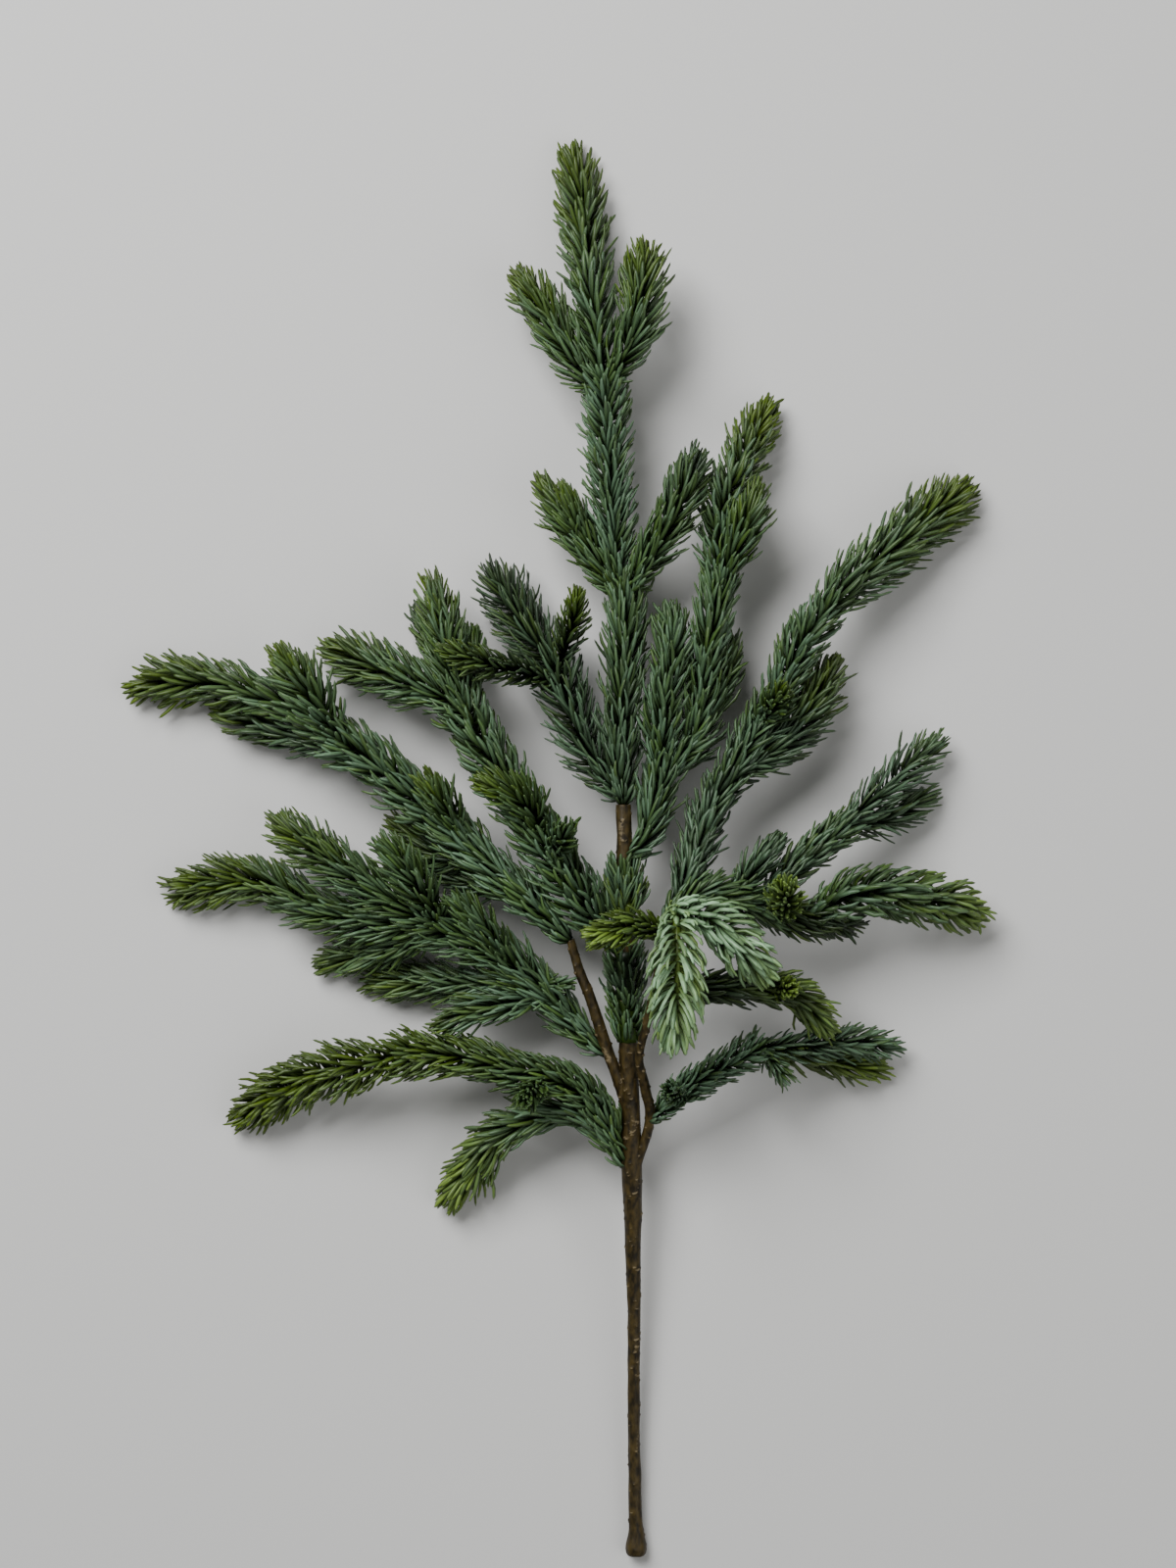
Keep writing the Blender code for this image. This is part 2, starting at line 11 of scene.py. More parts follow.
import bmesh
import bpy
import numpy as np
from bpy.props import FloatProperty, FloatVectorProperty, IntProperty, PointerProperty
from bpy.types import Operator, Panel, PropertyGroup
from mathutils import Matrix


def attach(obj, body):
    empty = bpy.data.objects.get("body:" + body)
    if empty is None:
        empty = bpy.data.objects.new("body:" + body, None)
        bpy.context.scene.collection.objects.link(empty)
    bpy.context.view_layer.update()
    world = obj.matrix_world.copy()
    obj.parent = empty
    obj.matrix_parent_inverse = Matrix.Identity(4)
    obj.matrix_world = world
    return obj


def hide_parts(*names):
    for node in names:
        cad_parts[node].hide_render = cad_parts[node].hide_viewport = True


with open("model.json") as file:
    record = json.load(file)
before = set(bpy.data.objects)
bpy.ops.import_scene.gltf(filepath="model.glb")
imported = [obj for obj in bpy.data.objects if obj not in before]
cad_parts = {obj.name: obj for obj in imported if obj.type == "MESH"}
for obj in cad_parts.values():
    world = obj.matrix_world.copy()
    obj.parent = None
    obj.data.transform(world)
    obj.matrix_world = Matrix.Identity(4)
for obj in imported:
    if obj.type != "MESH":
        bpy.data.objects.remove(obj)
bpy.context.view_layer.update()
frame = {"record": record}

bl_info = {
    "name": "Blue Spruce Branch",
    "version": (1, 0, 0),
    "blender": (4, 5, 0),
    "location": "View3D > Sidebar > Spruce",
    "description": "Moulded needles, bark and a plain studio for an artificial spruce spray",
    "category": "Object",
}

MM = 0.001

# The place of the eye over the spray, and the shift that puts the spray over the origin.
EYE_X = 16.5
EYE_Y = 33.5
EYE_HEIGHT = 1500.0
SHIFT_X = -1.2

GOLDEN_TURN = math.pi * (3.0 - math.sqrt(5.0))
CURVE_SAMPLES = 24
LINE_STEP = 1.0


class Shoot(NamedTuple):
    """One needled shoot, with its reach at its base and its tip, and its route.

    Its plastic and its bloom are given for its base and its tip, and its needles' length in
    millimetres. The last values are shares of what is usual: how many needles it has, how far
    they curl, how far they lean together at its tip, and how thick they are.
    """

    reach: tuple
    route: tuple
    plastic: tuple = ("green", "olive")
    bloom: tuple = (0.8, 0.35)
    needle: float = 20.0
    fullness: float = 1.0
    curl: float = 1.0
    shut: float = 0.8
    girth: float = 1.0


# Each stem: its route (x, y, z) and its radius at those points.
STEMS = {
    "main_stem": (
        (41, -360, 5.3, 4.2),
        (41, -358.5, 5.3, 5.1),
        (41, -355, 5.5, 5.3),
        (41, -348, 6, 4.0),
        (40.5, -338, 6.8, 3.4),
        (40, -291, 10, 3.1),
        (40, -237, 15.6, 3.3),
        (39.5, -206, 19.8, 3.9),
        (39, -164, 27, 5.1),
        (37.5, -116, 34, 4.7),
        (35.5, -66, 38, 4.4),
        (35, -16, 40, 4.1),
        (34.5, 23, 40, 3.8),
    ),
    "left_stem": (
        (38.5, -152, 29, 2.7),
        (35.5, -130, 32, 3.0),
        (31.8, -116.5, 34, 3.1),
        (27.3, -105, 35, 3.0),
        (22.3, -90, 37, 2.9),
        (17.3, -75, 39, 2.7),
        (12, -62, 40, 2.4),
        (7.5, -46, 41, 2.0),
    ),
    "right_stem": (
        (40.5, -164, 28, 2.4),
        (48, -138, 34, 2.5),
        (45.5, -121, 42, 2.4),
        (42.5, -106, 48, 2.1),
        (46, -91, 54, 2.0),
        (50.5, -71, 60, 2.0),
        (55.5, -46, 66, 2.0),
        (58, -33, 70, 1.9),
    ),
}

# Among the plastic tones, the darkest green is a painted shade, for shoots and shoot ends that lie
# in shadow.
SPRIGS = {
    "leader_lower": (
        Shoot((9, 11), ((34.5, 23, 40), (33.5, 45, 41), (33.5, 63, 42), (35, 93, 41),
                        (35.5, 113, 40), (34.5, 128, 39)), ("shaded_green", "green"), (0.55, 0.7),
              curl=1.3),
        Shoot((14, 16), ((34, 26, 39), (16, 52, 34), (6.5, 75, 31), (-1, 92, 29),
                         (-15, 113, 22), (-35, 146, 9)), ("shaded_green", "shaded_green"), (0.7, 0.15), 20,
              0.95, 1.3, girth=0.85),
        Shoot((9, 10), ((-1, 88, 31), (8, 113, 42), (12, 134, 50)),
              ("shaded_green", "olive"), (0.2, 0.1), 12, 0.8, 1.2, girth=0.8),
        Shoot((8, 10), ((1, 85, 31), (-14, 90, 42), (-35, 95, 54), (-61, 103, 60)),
              ("shaded_green", "olive"), (0.2, 0.3), 12, 0.85, 1.2, girth=0.8),
    ),
    "leader_upper": (
        Shoot((12, 13), ((34.5, 128, 39), (31, 143, 38), (28.5, 173, 37), (26.5, 213, 36),
                         (25.5, 232, 35)), ("green", "green"), (1.0, 0.9), 17, 1.05),
        Shoot((11, 12), ((34.5, 130, 39), (27, 138, 39), (12, 161, 36), (-8, 189, 27)),
              ("green", "olive"), (0.5, 0.2)),
        Shoot((7, 8), ((16, 156, 38), (9, 171, 46), (4, 187, 49)), ("green", "olive"), (0.5, 0.3)),
        Shoot((11, 12), ((34.5, 131, 39), (41, 139, 41), (58.5, 168, 44), (73.5, 205, 38)),
              ("green", "shaded_green"), (0.5, 0.3)),
    ),
    "crown": (
        Shoot((13, 12), ((25.5, 232, 35), (20.5, 268, 31), (14.5, 318, 13), (9, 360, 5)),
              ("green", "olive"), (0.65, 0.05), 20, 0.75, girth=1.15),
        Shoot((11, 12), ((25, 235, 35), (14, 243, 35), (1, 264, 32), (-20, 296, 24)),
              ("green", "olive"), (0.5, 0.0), 21),
        Shoot((11, 12), ((25, 236, 35), (32, 246, 38), (41, 268, 41), (47, 310, 34)),
              ("green", "olive"), (0.5, 0.0), 21),
    ),
    "stem_needles_lower": (
        Shoot((9, 13), ((36.8, -98, 35.8), (36.2, -86, 36.6), (35.9, -75, 37.3)),
              ("green", "green"), (0.8, 0.6), 12, 1.1, 2.4, 0.0),
        Shoot((11, 14), ((35.9, -77, 37.1), (35.5, -66, 38), (35.2, -52, 38.8)),
              ("shaded_green", "green"), (0.5, 0.7), 13, 0.9, 2.4, 0.0),
    ),
    "stem_needles_upper": (
        Shoot((12, 13), ((35.1, -34, 39.6), (35, -23, 39.9), (34.8, -13, 40.1)),
              ("lime", "green"), (1.0, 0.8), 16, 1.9, 1.0, 0.6),
    ),
    "right_inner": (
        Shoot((10, 10), ((34.8, -5, 40), (42, 1, 40), (47, 11, 39), (54, 36, 37), (69, 54, 36),
                         (74.5, 82, 37), (79.5, 113, 38), (82, 128, 38)),
              ("green", "green"), (0.9, 0.7)),
        Shoot((10, 11), ((53, 33, 37), (54, 62, 42), (58.5, 94, 43), (59, 126, 39)),
              ("green", "green"), (0.9, 0.6)),
        Shoot((8, 9), ((68, 52, 36), (82, 80, 29), (90, 110, 24)),
              ("green", "green"), (0.5, 0.2)),
    ),
    "right_inner_tip": (
        Shoot((11, 13), ((82, 128, 38), (85, 172, 36), (95, 198, 24), (110, 229, 9)),
              ("green", "olive"), (0.8, 0.0), 17, 1.0, 1.5),
        Shoot((9, 10), ((82.5, 131, 38), (95, 160, 47), (104, 187, 44)),
              ("green", "olive"), (0.6, 0.2)),
    ),
    "right_long": (
        Shoot((9, 11), ((57, -38, 68), (64, -24, 60), (78, 17, 46), (87, 34, 42), (102, 60, 40),
                        (109, 71, 40), (125, 104, 39), (131, 113, 38)),
              ("shaded_green", "green"), (0.7, 0.8), 18),
        Shoot((9, 10), ((105, 65, 40), (112, 75, 56), (117, 81, 71)),
              ("green", "olive"), (0.6, 0.35), 15, 1.0, 1.4, 0.7),
        Shoot((12, 13), ((89, 38, 41), (107, 48, 36), (126, 67, 30), (144, 98, 21)),
              ("shaded_green", "olive"), (0.5, 0.1)),
    ),
    "right_long_tip": (
        Shoot((14, 16), ((131, 113, 38), (141, 126, 36), (163, 146, 26), (187, 166, 16),
                         (213, 186, 7)), ("green", "olive"), (0.55, 0.0), 23),
    ),
    "right_middle": (
        Shoot((9, 10), ((58, -34, 70), (70, -25, 66), (84, -23, 60), (104, -29, 52),
                        (120, -34, 48), (129, -35, 46)), ("green", "shaded_green"), (0.7, 0.0), 18),
        Shoot((8, 9), ((103, -29, 52), (123, -8, 44), (142, 8, 38)),
              ("shaded_green", "green"), (0.5, 0.8), 17),
        Shoot((9, 10), ((90, -25, 57), (98, -14, 55), (116, 7, 50)),
              ("shaded_green", "shaded_green"), (0.7, 0.5), 16),
        Shoot((11, 12), ((115, -33, 49), (117, -25, 66), (115, -17, 84)),
              ("lime", "lime"), (0.4, 0.4), 15, 1.3, 1.6, 0.8),
    ),
    "right_middle_upper_tip": (
        Shoot((11, 13), ((142, 8, 38), (166, 29, 28), (198, 58, 12)),
              ("shaded_green", "green"), (0.8, 0.5), 18, 0.7, 0.8, 0.7, 0.85),
        Shoot((8, 10), ((144, 10, 38), (169, 17, 22), (194, 29, 7)),
              ("shaded_green", "green"), (0.6, 0.4), 18, 0.7, 0.8, 0.7, 0.85),
    ),
    "right_middle_lower_tip": (
        Shoot((14, 14), ((129, -35, 46), (148, -24, 46), (168, -22, 40), (202, -28, 25),
                         (219, -37, 14)), ("green", "lime"), (0.7, 0.2), 19, 0.8, 2.3,
              girth=1.25),
        Shoot((8, 9), ((133, -34, 46), (143, -39, 34), (157, -35, 25)),
              ("shaded_green", "shaded_green"), (0.1, 0.1), 15),
    ),
    "front_left": (
        Shoot((9, 11), ((56, -43, 67), (45, -39, 74), (31, -41.5, 78), (14.5, -46.5, 79)),
              ("olive", "lime"), (0.2, 0.05), 14, 1.2, 1.6, 0.45),
    ),
    "front_hanging": (
        Shoot((6, 6), ((58.3, -33, 72), (60, -31, 80), (61, -31, 94)),
              ("lime", "lime"), (0.6, 0.6), 15, 1.0, 1.6),
        Shoot((15, 16), ((61, -32, 88), (62, -44, 97), (62, -66, 100), (60, -104, 94)),
              ("lime", "lime"), (0.85, 0.65), 19, 0.75, 2.6, 0.7, 1.3),
        Shoot((12, 14), ((61, -31, 87), (75, -33, 90), (89, -44, 88), (110, -68, 79)),
              ("green", "lime"), (0.85, 0.6), 18, 0.75, 2.4, 0.7, 1.3),
    ),
    "front_right": (
        Shoot((8, 10), ((50.5, -71, 60), (64, -71, 61), (79, -71, 62), (99, -70, 61),
                        (114, -71, 60), (122, -74, 57), (131, -83, 49), (142, -94, 38)),
              ("shaded_green", "lime"), (0.1, 0.35), 17, 0.85),
        Shoot((9, 10), ((112, -71, 60), (118, -71, 72), (120.5, -70, 85)),
              ("olive", "lime"), (0.1, 0.1), 13, 1.0, 1.5, 0.7),
    ),
    "lower_right": (
        Shoot((8, 10), ((47.5, -138, 34), (54, -133, 35), (64, -124, 38), (78, -115, 40),
                        (102, -102, 39)), ("green", "green"), (1.25, 1.1), 12, 1.2, 1.4,
              girth=0.8),
        Shoot((10, 11), ((63, -125, 37), (60, -124, 50), (57, -122, 63)),
              ("green", "green"), (1.1, 1.1), 12, 1.7, 1.5, 0.8, 0.75),
    ),
    "lower_right_tip": (
        Shoot((10, 10), ((102, -102, 39), (129, -99.5, 35), (151.5, -98.5, 24), (176, -101, 12)),
              ("shaded_green", "green"), (0.8, 1.2), 15, 0.8, 1.0, 0.7, 0.85),
        Shoot((8, 9), ((109, -101.5, 38), (125, -105, 29), (146.5, -109, 16), (170, -113, 6)),
              ("olive", "lime"), (0.1, 0.0), 17, 0.65, 1.0, 0.7),
        Shoot((8, 10), ((105, -102, 39), (112, -110, 40), (121, -121, 41)),
              ("green", "green"), (0.7, 0.8), 12, 1.2, 1.5, 0.2, 0.7),
    ),
    "left_long": (
        Shoot((9, 14), ((7.5, -46, 41), (-9.5, -29, 42), (-26, -16, 41), (-48.5, 6, 39),
                        (-68.5, 23.5, 37), (-91, 43.5, 36), (-104, 51, 35)),
              ("green", "green"), (0.9, 0.8), 21, 0.9, 1.6, girth=1.15),
        Shoot((8, 9), ((-46, 4, 39), (-57, 23, 52), (-69, 39, 58)),
              ("green", "olive"), (0.5, 0.3)),
        Shoot((8, 9), ((-38, -4, 40), (-55, -4, 28), (-69, 6, 19), (-85, 15, 11)),
              ("shaded_green", "olive"), (0.3, 0.1)),
        Shoot((8, 9), ((-22, -19, 41), (-38, -17, 29), (-58, -9, 19), (-81, 0, 11)),
              ("shaded_green", "olive"), (0.3, 0.1)),
    ),
    "left_long_tip": (
        Shoot((12, 13), ((-104, 51, 35), (-133.5, 72.5, 33), (-163.5, 82.5, 22), (-188.5, 86, 13),
                         (-218.5, 82, 6)), ("green", "olive"), (0.55, 0.0), 20, 0.65,
              girth=1.25),
        Shoot((13, 14), ((-107, 53, 35), (-122, 74, 43), (-142.5, 104, 40)),
              ("green", "olive"), (0.7, 0.1), 20, 0.9, girth=1.15),
        Shoot((9, 10), ((-107, 52, 35), (-138, 60, 20), (-175, 72, 6)),
              ("shaded_green", "olive"), (0.5, 0.1), 20, 0.8, girth=1.15),
    ),
    "upper_left": (
        Shoot((13, 14), ((35.4, -49, 39), (24, -38, 44), (9, -20, 48), (-7, 5, 49), (-20, 26, 48),
                         (-34, 48, 46), (-45, 68, 44)), ("green", "green"), (0.8, 0.7), 20,
              0.9, 1.8, girth=1.15),
        Shoot((9, 11), ((-7, 6, 49), (-13, 20, 61), (-24, 29, 67), (-42, 35, 66)),
              ("green", "olive"), (0.4, 0.1), 18),
        Shoot((10, 11), ((-2, -3, 49), (3, 5, 66), (6, 14, 80)),
              ("green", "green"), (0.7, 0.6), 19, 1.0, 1.6, 0.7),
    ),
    "upper_left_tip": (
        Shoot((13, 15), ((-45, 68, 44), (-54, 76, 43), (-71, 84, 39), (-93, 94, 24),
                         (-118, 103.5, 8)), ("green", "olive"), (0.6, 0.1), 21),
        Shoot((10, 12), ((-46, 71, 44), (-51, 85, 44), (-56, 108, 41), (-64, 140, 31)),
              ("green", "olive"), (0.7, 0.15), 20),
        Shoot((8, 9), ((-54, 78, 42), (-61, 103, 24), (-72, 124, 8)),
              ("green", "shaded_green"), (0.3, 0.2), 17),
        Shoot((7, 8), ((-45, 70, 44), (-43, 92, 35), (-43, 115, 26)),
              ("green", "green"), (0.4, 0.3), 17),
    ),
    "left_middle": (
        Shoot((8, 15), ((27, -105, 35), (13, -92.5, 34), (2, -80.5, 35), (-9, -70, 36),
                        (-25, -56.5, 38), (-43, -46, 38), (-57, -41, 38)),
              ("green", "green"), (0.8, 0.6), 21),
        Shoot((8, 10), ((-9, -71, 36), (-28, -69, 29), (-58, -68, 16), (-98, -67, 6)),
              ("green", "olive"), (0.8, 0.3)),
        Shoot((8, 9), ((-4, -75, 36), (-21, -79, 39), (-38.5, -82, 40), (-62, -92, 36)),
              ("green", "olive"), (0.9, 0.3)),
        Shoot((8, 9), ((-24, -58, 38), (-35, -43, 49), (-54, -23, 56)),
              ("green", "green"), (0.6, 0.5)),
        Shoot((8, 9), ((-9, -70, 36), (1, -69, 41), (12, -70, 44)),
              ("green", "green"), (0.8, 0.6), 15),
    ),
    "left_middle_tip": (
        Shoot((12, 13), ((-57, -41, 38), (-70, -34, 40), (-113.5, -6.5, 37), (-145, 17, 26)),
              ("green", "olive"), (0.6, 0.25), 20),
        Shoot((11, 14), ((-60, -40, 38), (-80, -38, 32), (-118.5, -31, 25), (-153.5, -16.5, 15),
                         (-199, -22, 6)), ("green", "olive"), (0.6, 0.05), 20, shut=0.6),
        Shoot((10, 12), ((-60, -39, 39), (-64, -29, 48), (-75, -13, 55), (-91, 7, 54)),
              ("green", "green"), (0.5, 0.5), 19),
        Shoot((8, 9), ((-60, -40, 38), (-84, -50, 23), (-122, -59, 6)),
              ("green", "olive"), (0.6, 0.2)),
    ),
    "lower_left": (
        Shoot((7, 13), ((39.4, -160, 27.5), (31, -147, 31), (20, -130, 37), (3, -118.5, 42),
                         (-19, -113, 42), (-47.5, -106, 40), (-76, -104.5, 38)),
              ("green", "olive"), (0.6, 0.25), 17, 1.1, 1.9),
        Shoot((9, 10), ((-7, -119, 42), (-13, -125, 59), (-15, -128, 76)),
              ("green", "green"), (0.5, 0.4), 15),
    ),
    "lower_left_tip": (
        Shoot((15, 14), ((-76, -104.5, 38), (-104, -111, 34), (-131.5, -119, 21), (-165, -139, 7)),
              ("olive", "olive"), (0.15, 0.0), 18, 1.0, 1.8, girth=1.1),
    ),
    "lower_left_side": (
        Shoot((8, 13), ((39.3, -164, 27), (31, -152, 28.5), (19, -139, 30), (3, -134.5, 31),
                        (-21, -141, 30), (-37, -155, 20), (-57, -182, 7)),
              ("green", "lime"), (0.7, 0.1), 20, 0.9, girth=1.15),
    ),
}

# Sprigs that are sleeves round the main stem.
SLEEVES = ("stem_needles_lower", "stem_needles_upper")

LEADER = ("leader_lower", "leader_upper", "crown")
STEM_SLEEVES = SLEEVES
RIGHT = ("right_inner", "right_inner_tip", "right_long", "right_long_tip", "right_middle",
         "right_middle_upper_tip", "right_middle_lower_tip", "lower_right", "lower_right_tip")
FRONT = ("front_left", "front_hanging", "front_right")
UPPER_LEFT = ("upper_left", "upper_left_tip", "left_long", "left_long_tip")
LOWER_LEFT = ("left_middle", "left_middle_tip", "lower_left", "lower_left_tip",
              "lower_left_side")


class NeedleSettings(PropertyGroup):
    """The form of one moulded needle, and how the needles stand."""

    width: FloatProperty(
        name="Width", description="Width of a needle's flat blade", default=1.95 * MM,
        min=0.0, unit="LENGTH")
    thickness: FloatProperty(
        name="Thickness", description="Thickness of a needle at its rib", default=1.4 * MM,
        min=0.0, unit="LENGTH")
    per_metre: FloatProperty(
        name="Needles per metre", description="Needles along one metre of a full shoot",
        default=3600.0, min=0.0)
    whorl: FloatProperty(
        name="Whorl spacing", description="Spacing of two rings of needles along a shoot",
        default=2.9 * MM, min=0.0, unit="LENGTH")
    curl: FloatProperty(
        name="Curl", description="How far a needle turns forward from root to point",
        default=0.6, subtype="ANGLE")
    core: FloatProperty(
        name="Core radius", description="Radius of the core that the needles grow from",
        default=1.9 * MM, min=0.0, unit="LENGTH")
    seed: IntProperty(name="Seed", description="Start of the random differences", default=7)


class PlasticColours(PropertyGroup):
    """Colours of the moulded plastic, and of the bloom sprayed over it."""

    green: FloatVectorProperty(
        name="Green", description="Plain green plastic", default=(0.038, 0.080, 0.007),
        subtype="COLOR", min=0.0, max=1.0)
    olive: FloatVectorProperty(
        name="Olive", description="Olive green of most tips", default=(0.062, 0.104, 0.004),
        subtype="COLOR", min=0.0, max=1.0)
    lime: FloatVectorProperty(
        name="Lime", description="Bright yellow green of young tips",
        default=(0.150, 0.235, 0.030), subtype="COLOR", min=0.0, max=1.0)
    # Painted shade: this darker green stands in for the shade on the shoots and shoot ends that
    # lie in shadow.
    shaded_green: FloatVectorProperty(
        name="Deep green", description="Dark green of the shaded shoots",
        default=(0.018, 0.035, 0.012), subtype="COLOR", min=0.0, max=1.0)
    bloom: FloatVectorProperty(
        name="Bloom", description="Blue green bloom over most needles",
        default=(0.091, 0.163, 0.093), subtype="COLOR", min=0.0, max=1.0)
    frost: FloatVectorProperty(
        name="Frost", description="Pale mint bloom of the front shoots",
        default=(0.270, 0.460, 0.260), subtype="COLOR", min=0.0, max=1.0)


class BarkSettings(PropertyGroup):
    """The look and the relief of the moulded bark."""

    brown: FloatVectorProperty(
        name="Brown", description="Colour of the bark", default=(0.028, 0.019, 0.005),
        subtype="COLOR", min=0.0, max=1.0)
    # Pale colour of the flecks of wear, and also of the painted highlight on the bark's scars and
    # ridges that stand out.
    fleck_and_highlight: FloatVectorProperty(
        name="Fleck", description="Colour where the bark is worn", default=(0.23, 0.18, 0.10),
        subtype="COLOR", min=0.0, max=1.0)
    relief: FloatProperty(
        name="Relief", description="Height of the bark's bumps", default=0.35 * MM,
        min=0.0, unit="LENGTH")


class StageSettings(PropertyGroup):
    """The floor, the light and the camera."""

    floor: FloatVectorProperty(
        name="Floor", description="Colour of the floor", default=(0.60, 0.60, 0.59),
        subtype="COLOR", min=0.0, max=1.0)
    view_height: FloatProperty(
        name="View height", description="Height of the picture at the floor", default=0.8,
        unit="LENGTH")
    key: FloatProperty(
        name="Key light", description="Power of the large soft light", default=68.0,
        unit="POWER")


def smooth_line(values, step):
    """Return points about step apart on a smooth curve through the rows of values."""
    rows = np.array(values, dtype=float)
    control = np.vstack((2 * rows[0] - rows[1], rows, 2 * rows[-1] - rows[-2]))
    dense = []
    for a, b, c, d in zip(control, control[1:], control[2:], control[3:]):
        for t in np.linspace(0.0, 1.0, CURVE_SAMPLES, endpoint=False):
            dense.append(0.5 * (2 * b + (c - a) * t + (2 * a - 5 * b + 4 * c - d) * t ** 2
                                + (3 * b - 3 * c + d - a) * t ** 3))
    dense.append(rows[-1])
    dense = np.array(dense)
    legs = np.linalg.norm(np.diff(dense[:, :3], axis=0), axis=1)
    along = np.concatenate(([0.0], np.cumsum(legs)))
    count = max(2, int(round(along[-1] / step)) + 1)
    places = np.linspace(0.0, along[-1], count)
    return np.stack([np.interp(places, along, column) for column in dense.T], axis=1)


def drawn_in(row):
    """Return the real place of a row that is given as it looks from the eye."""
    x, y, z = row[:3]
    keep = 1.0 - z / EYE_HEIGHT
    return (EYE_X + (x - EYE_X) * keep + SHIFT_X, EYE_Y + (y - EYE_Y) * keep, z) + tuple(row[3:])


def line_frames(points):
    """Return the direction, side and top vectors at each point, turned as little as can be."""
    ways = unit(np.gradient(points[:, :3], axis=0))
    upright = abs(ways[0][2]) > 0.9
    side = np.cross(ways[0], (0.0, 1.0, 0.0) if upright else (0.0, 0.0, 1.0))
    sides = []
    for way in ways:
        side = side - way * side.dot(way)
        side = side / np.linalg.norm(side)
        sides.append(side)
    sides = np.array(sides)
    return ways, sides, np.cross(sides, ways)


def unit(vectors):
    """Return vectors scaled to length one, along the last axis."""
    return vectors / np.maximum(np.linalg.norm(vectors, axis=-1, keepdims=True), 1e-9)


def deselect_all():
    bpy.ops.object.select_all(action="DESELECT")


def active_mesh(name):
    """Name the new active object and its mesh, and return the object."""
    made = bpy.context.object
    made.name = name
    made.data.name = name
    return made


NEEDLE_BASE = 0.5                       # width of a needle's root, as a share of its full width
NEEDLE_PROFILE = ((0.10, 0.80), (0.38, 1.0), (0.74, 0.98), (0.93, 0.70), (1.0, 0.02))


def model_needle():
    """Model one straight needle, one unit long and wide, and return its points and faces.

    A small square plate is the root. It is extruded along the needle, and each step is scaled.
    """
    deselect_all()
    bpy.ops.mesh.primitive_circle_add(vertices=4, radius=0.5, fill_type="NGON")
    blade = active_mesh("needle")
    bpy.ops.object.mode_set(mode="EDIT")
    bpy.ops.mesh.select_all(action="SELECT")
    width = NEEDLE_BASE
    bpy.ops.transform.resize(value=(width, width, 1.0))
    height = 0.0
    for place, share in NEEDLE_PROFILE:
        bpy.ops.mesh.extrude_region_move(
            TRANSFORM_OT_translate={"value": (0.0, 0.0, place - height)})
        bpy.ops.transform.resize(value=(share / width, share / width, 1.0))
        height = place
        width = share
    bpy.ops.mesh.merge(type="CENTER")
    bpy.ops.mesh.select_all(action="SELECT")
    bpy.ops.mesh.normals_make_consistent(inside=False)
    bpy.ops.object.mode_set(mode="OBJECT")
    points = np.array([vertex.co for vertex in blade.data.vertices])
    faces = [tuple(face.vertices) for face in blade.data.polygons]
    bpy.data.objects.remove(blade, do_unlink=True)
    return points, faces


def stem_points():
    """Return points and radii along all the stems, to keep needles out of them."""
    rows = [smooth_line([drawn_in(row) for row in table], LINE_STEP) for table in STEMS.values()]
    return np.vstack(rows)


NEEDLE_LIFT = 0.9        # least height of a needle's middle above the surface, in mm
OPENING = 18.0           # length over which the needles at a shoot's base grow longer
FIRST_SIZE = 0.55        # size of the first needles, as a share of the full size
CLOSING = 15.0           # length over which they lean together at a free tip
TIP_SHARE = 0.72         # place of the last root, as a share of a needle from the tip
FLATTENED = 0.9          # a shoot is a little flatter than it is wide
SLEEVE_CORE = 5.4        # radius of the tube under the needles of a sleeve
STRAYS = 0.04            # share of the needles that stand out more than the rest


def needle_paths(shoot, sleeve, free, settings, rng, stems):
    """Return the paths of a shoot's needles, their sides, their blade sizes and their places."""
    line = smooth_line([drawn_in(row) for row in shoot.route], LINE_STEP)
    ways, sides, tops = line_frames(line)
    length = LINE_STEP * (len(line) - 1)
    last = length - shoot.needle * TIP_SHARE if free else length - 1.0
    whorls = max(2, int(round(last / (settings.whorl / MM))))
    each = max(4, int(round(last * settings.per_metre * MM * shoot.fullness / whorls)))
    count = whorls * each
    ring = np.repeat(np.arange(whorls), each)
    share = ring / (whorls - 1)
    if free:
        share = 1.0 - (1.0 - share) ** 1.12
    along = last * share + rng.normal(0.0, 0.45, count)
    along = along.clip(0.0, last)
    at = (along / LINE_STEP).round().astype(int).clip(0, len(line) - 1)
    turn = (ring * GOLDEN_TURN + np.tile(np.arange(each), whorls) * 2 * math.pi / each
            + rng.normal(0.0, 0.16, count))
    out = (np.cos(turn)[:, None] * sides[at]
           + np.sin(turn)[:, None] * tops[at] * FLATTENED)
    core = SLEEVE_CORE if sleeve else settings.core / MM
    full = shoot.reach[0] + (shoot.reach[1] - shoot.reach[0]) * along / length
    size = shoot.needle * (1.0 + rng.normal(0.0, 0.07, count))
    if not sleeve:
        size *= FIRST_SIZE + (1.0 - FIRST_SIZE) * (along / OPENING).clip(0.0, 1.0)
    closing = np.zeros(count)
    if free or sleeve:
        closing = ((along - last + CLOSING) / CLOSING).clip(0.0, 1.0)
    spread = 1.0 - shoot.shut * closing ** 1.35
    size *= 1.0 - 0.18 * closing
    inner = core * (1.0 - (0.0 if sleeve else 0.45) * closing)
    lean = np.arcsin(((full - core) * spread / shoot.needle).clip(0.05, 0.93))
    lean = lean + rng.normal(0.0, 0.10, count)
    lean = lean + np.where(rng.random(count) < STRAYS, 0.22, 0.0)
    curl = settings.curl * (shoot.curl * (1.0 - 0.5 * closing) + rng.normal(0.0, 0.5, count))
    if sleeve:
        curl = np.minimum(curl, 1.5 * lean)
    curl = np.where(np.abs(curl) < 0.02, 0.02, curl)
    return bent_paths(line[at, :3] + out * (inner * 0.8)[:, None], ways[at], unit(out), size, lean,
                      curl, rng, stems, along / length, closing)


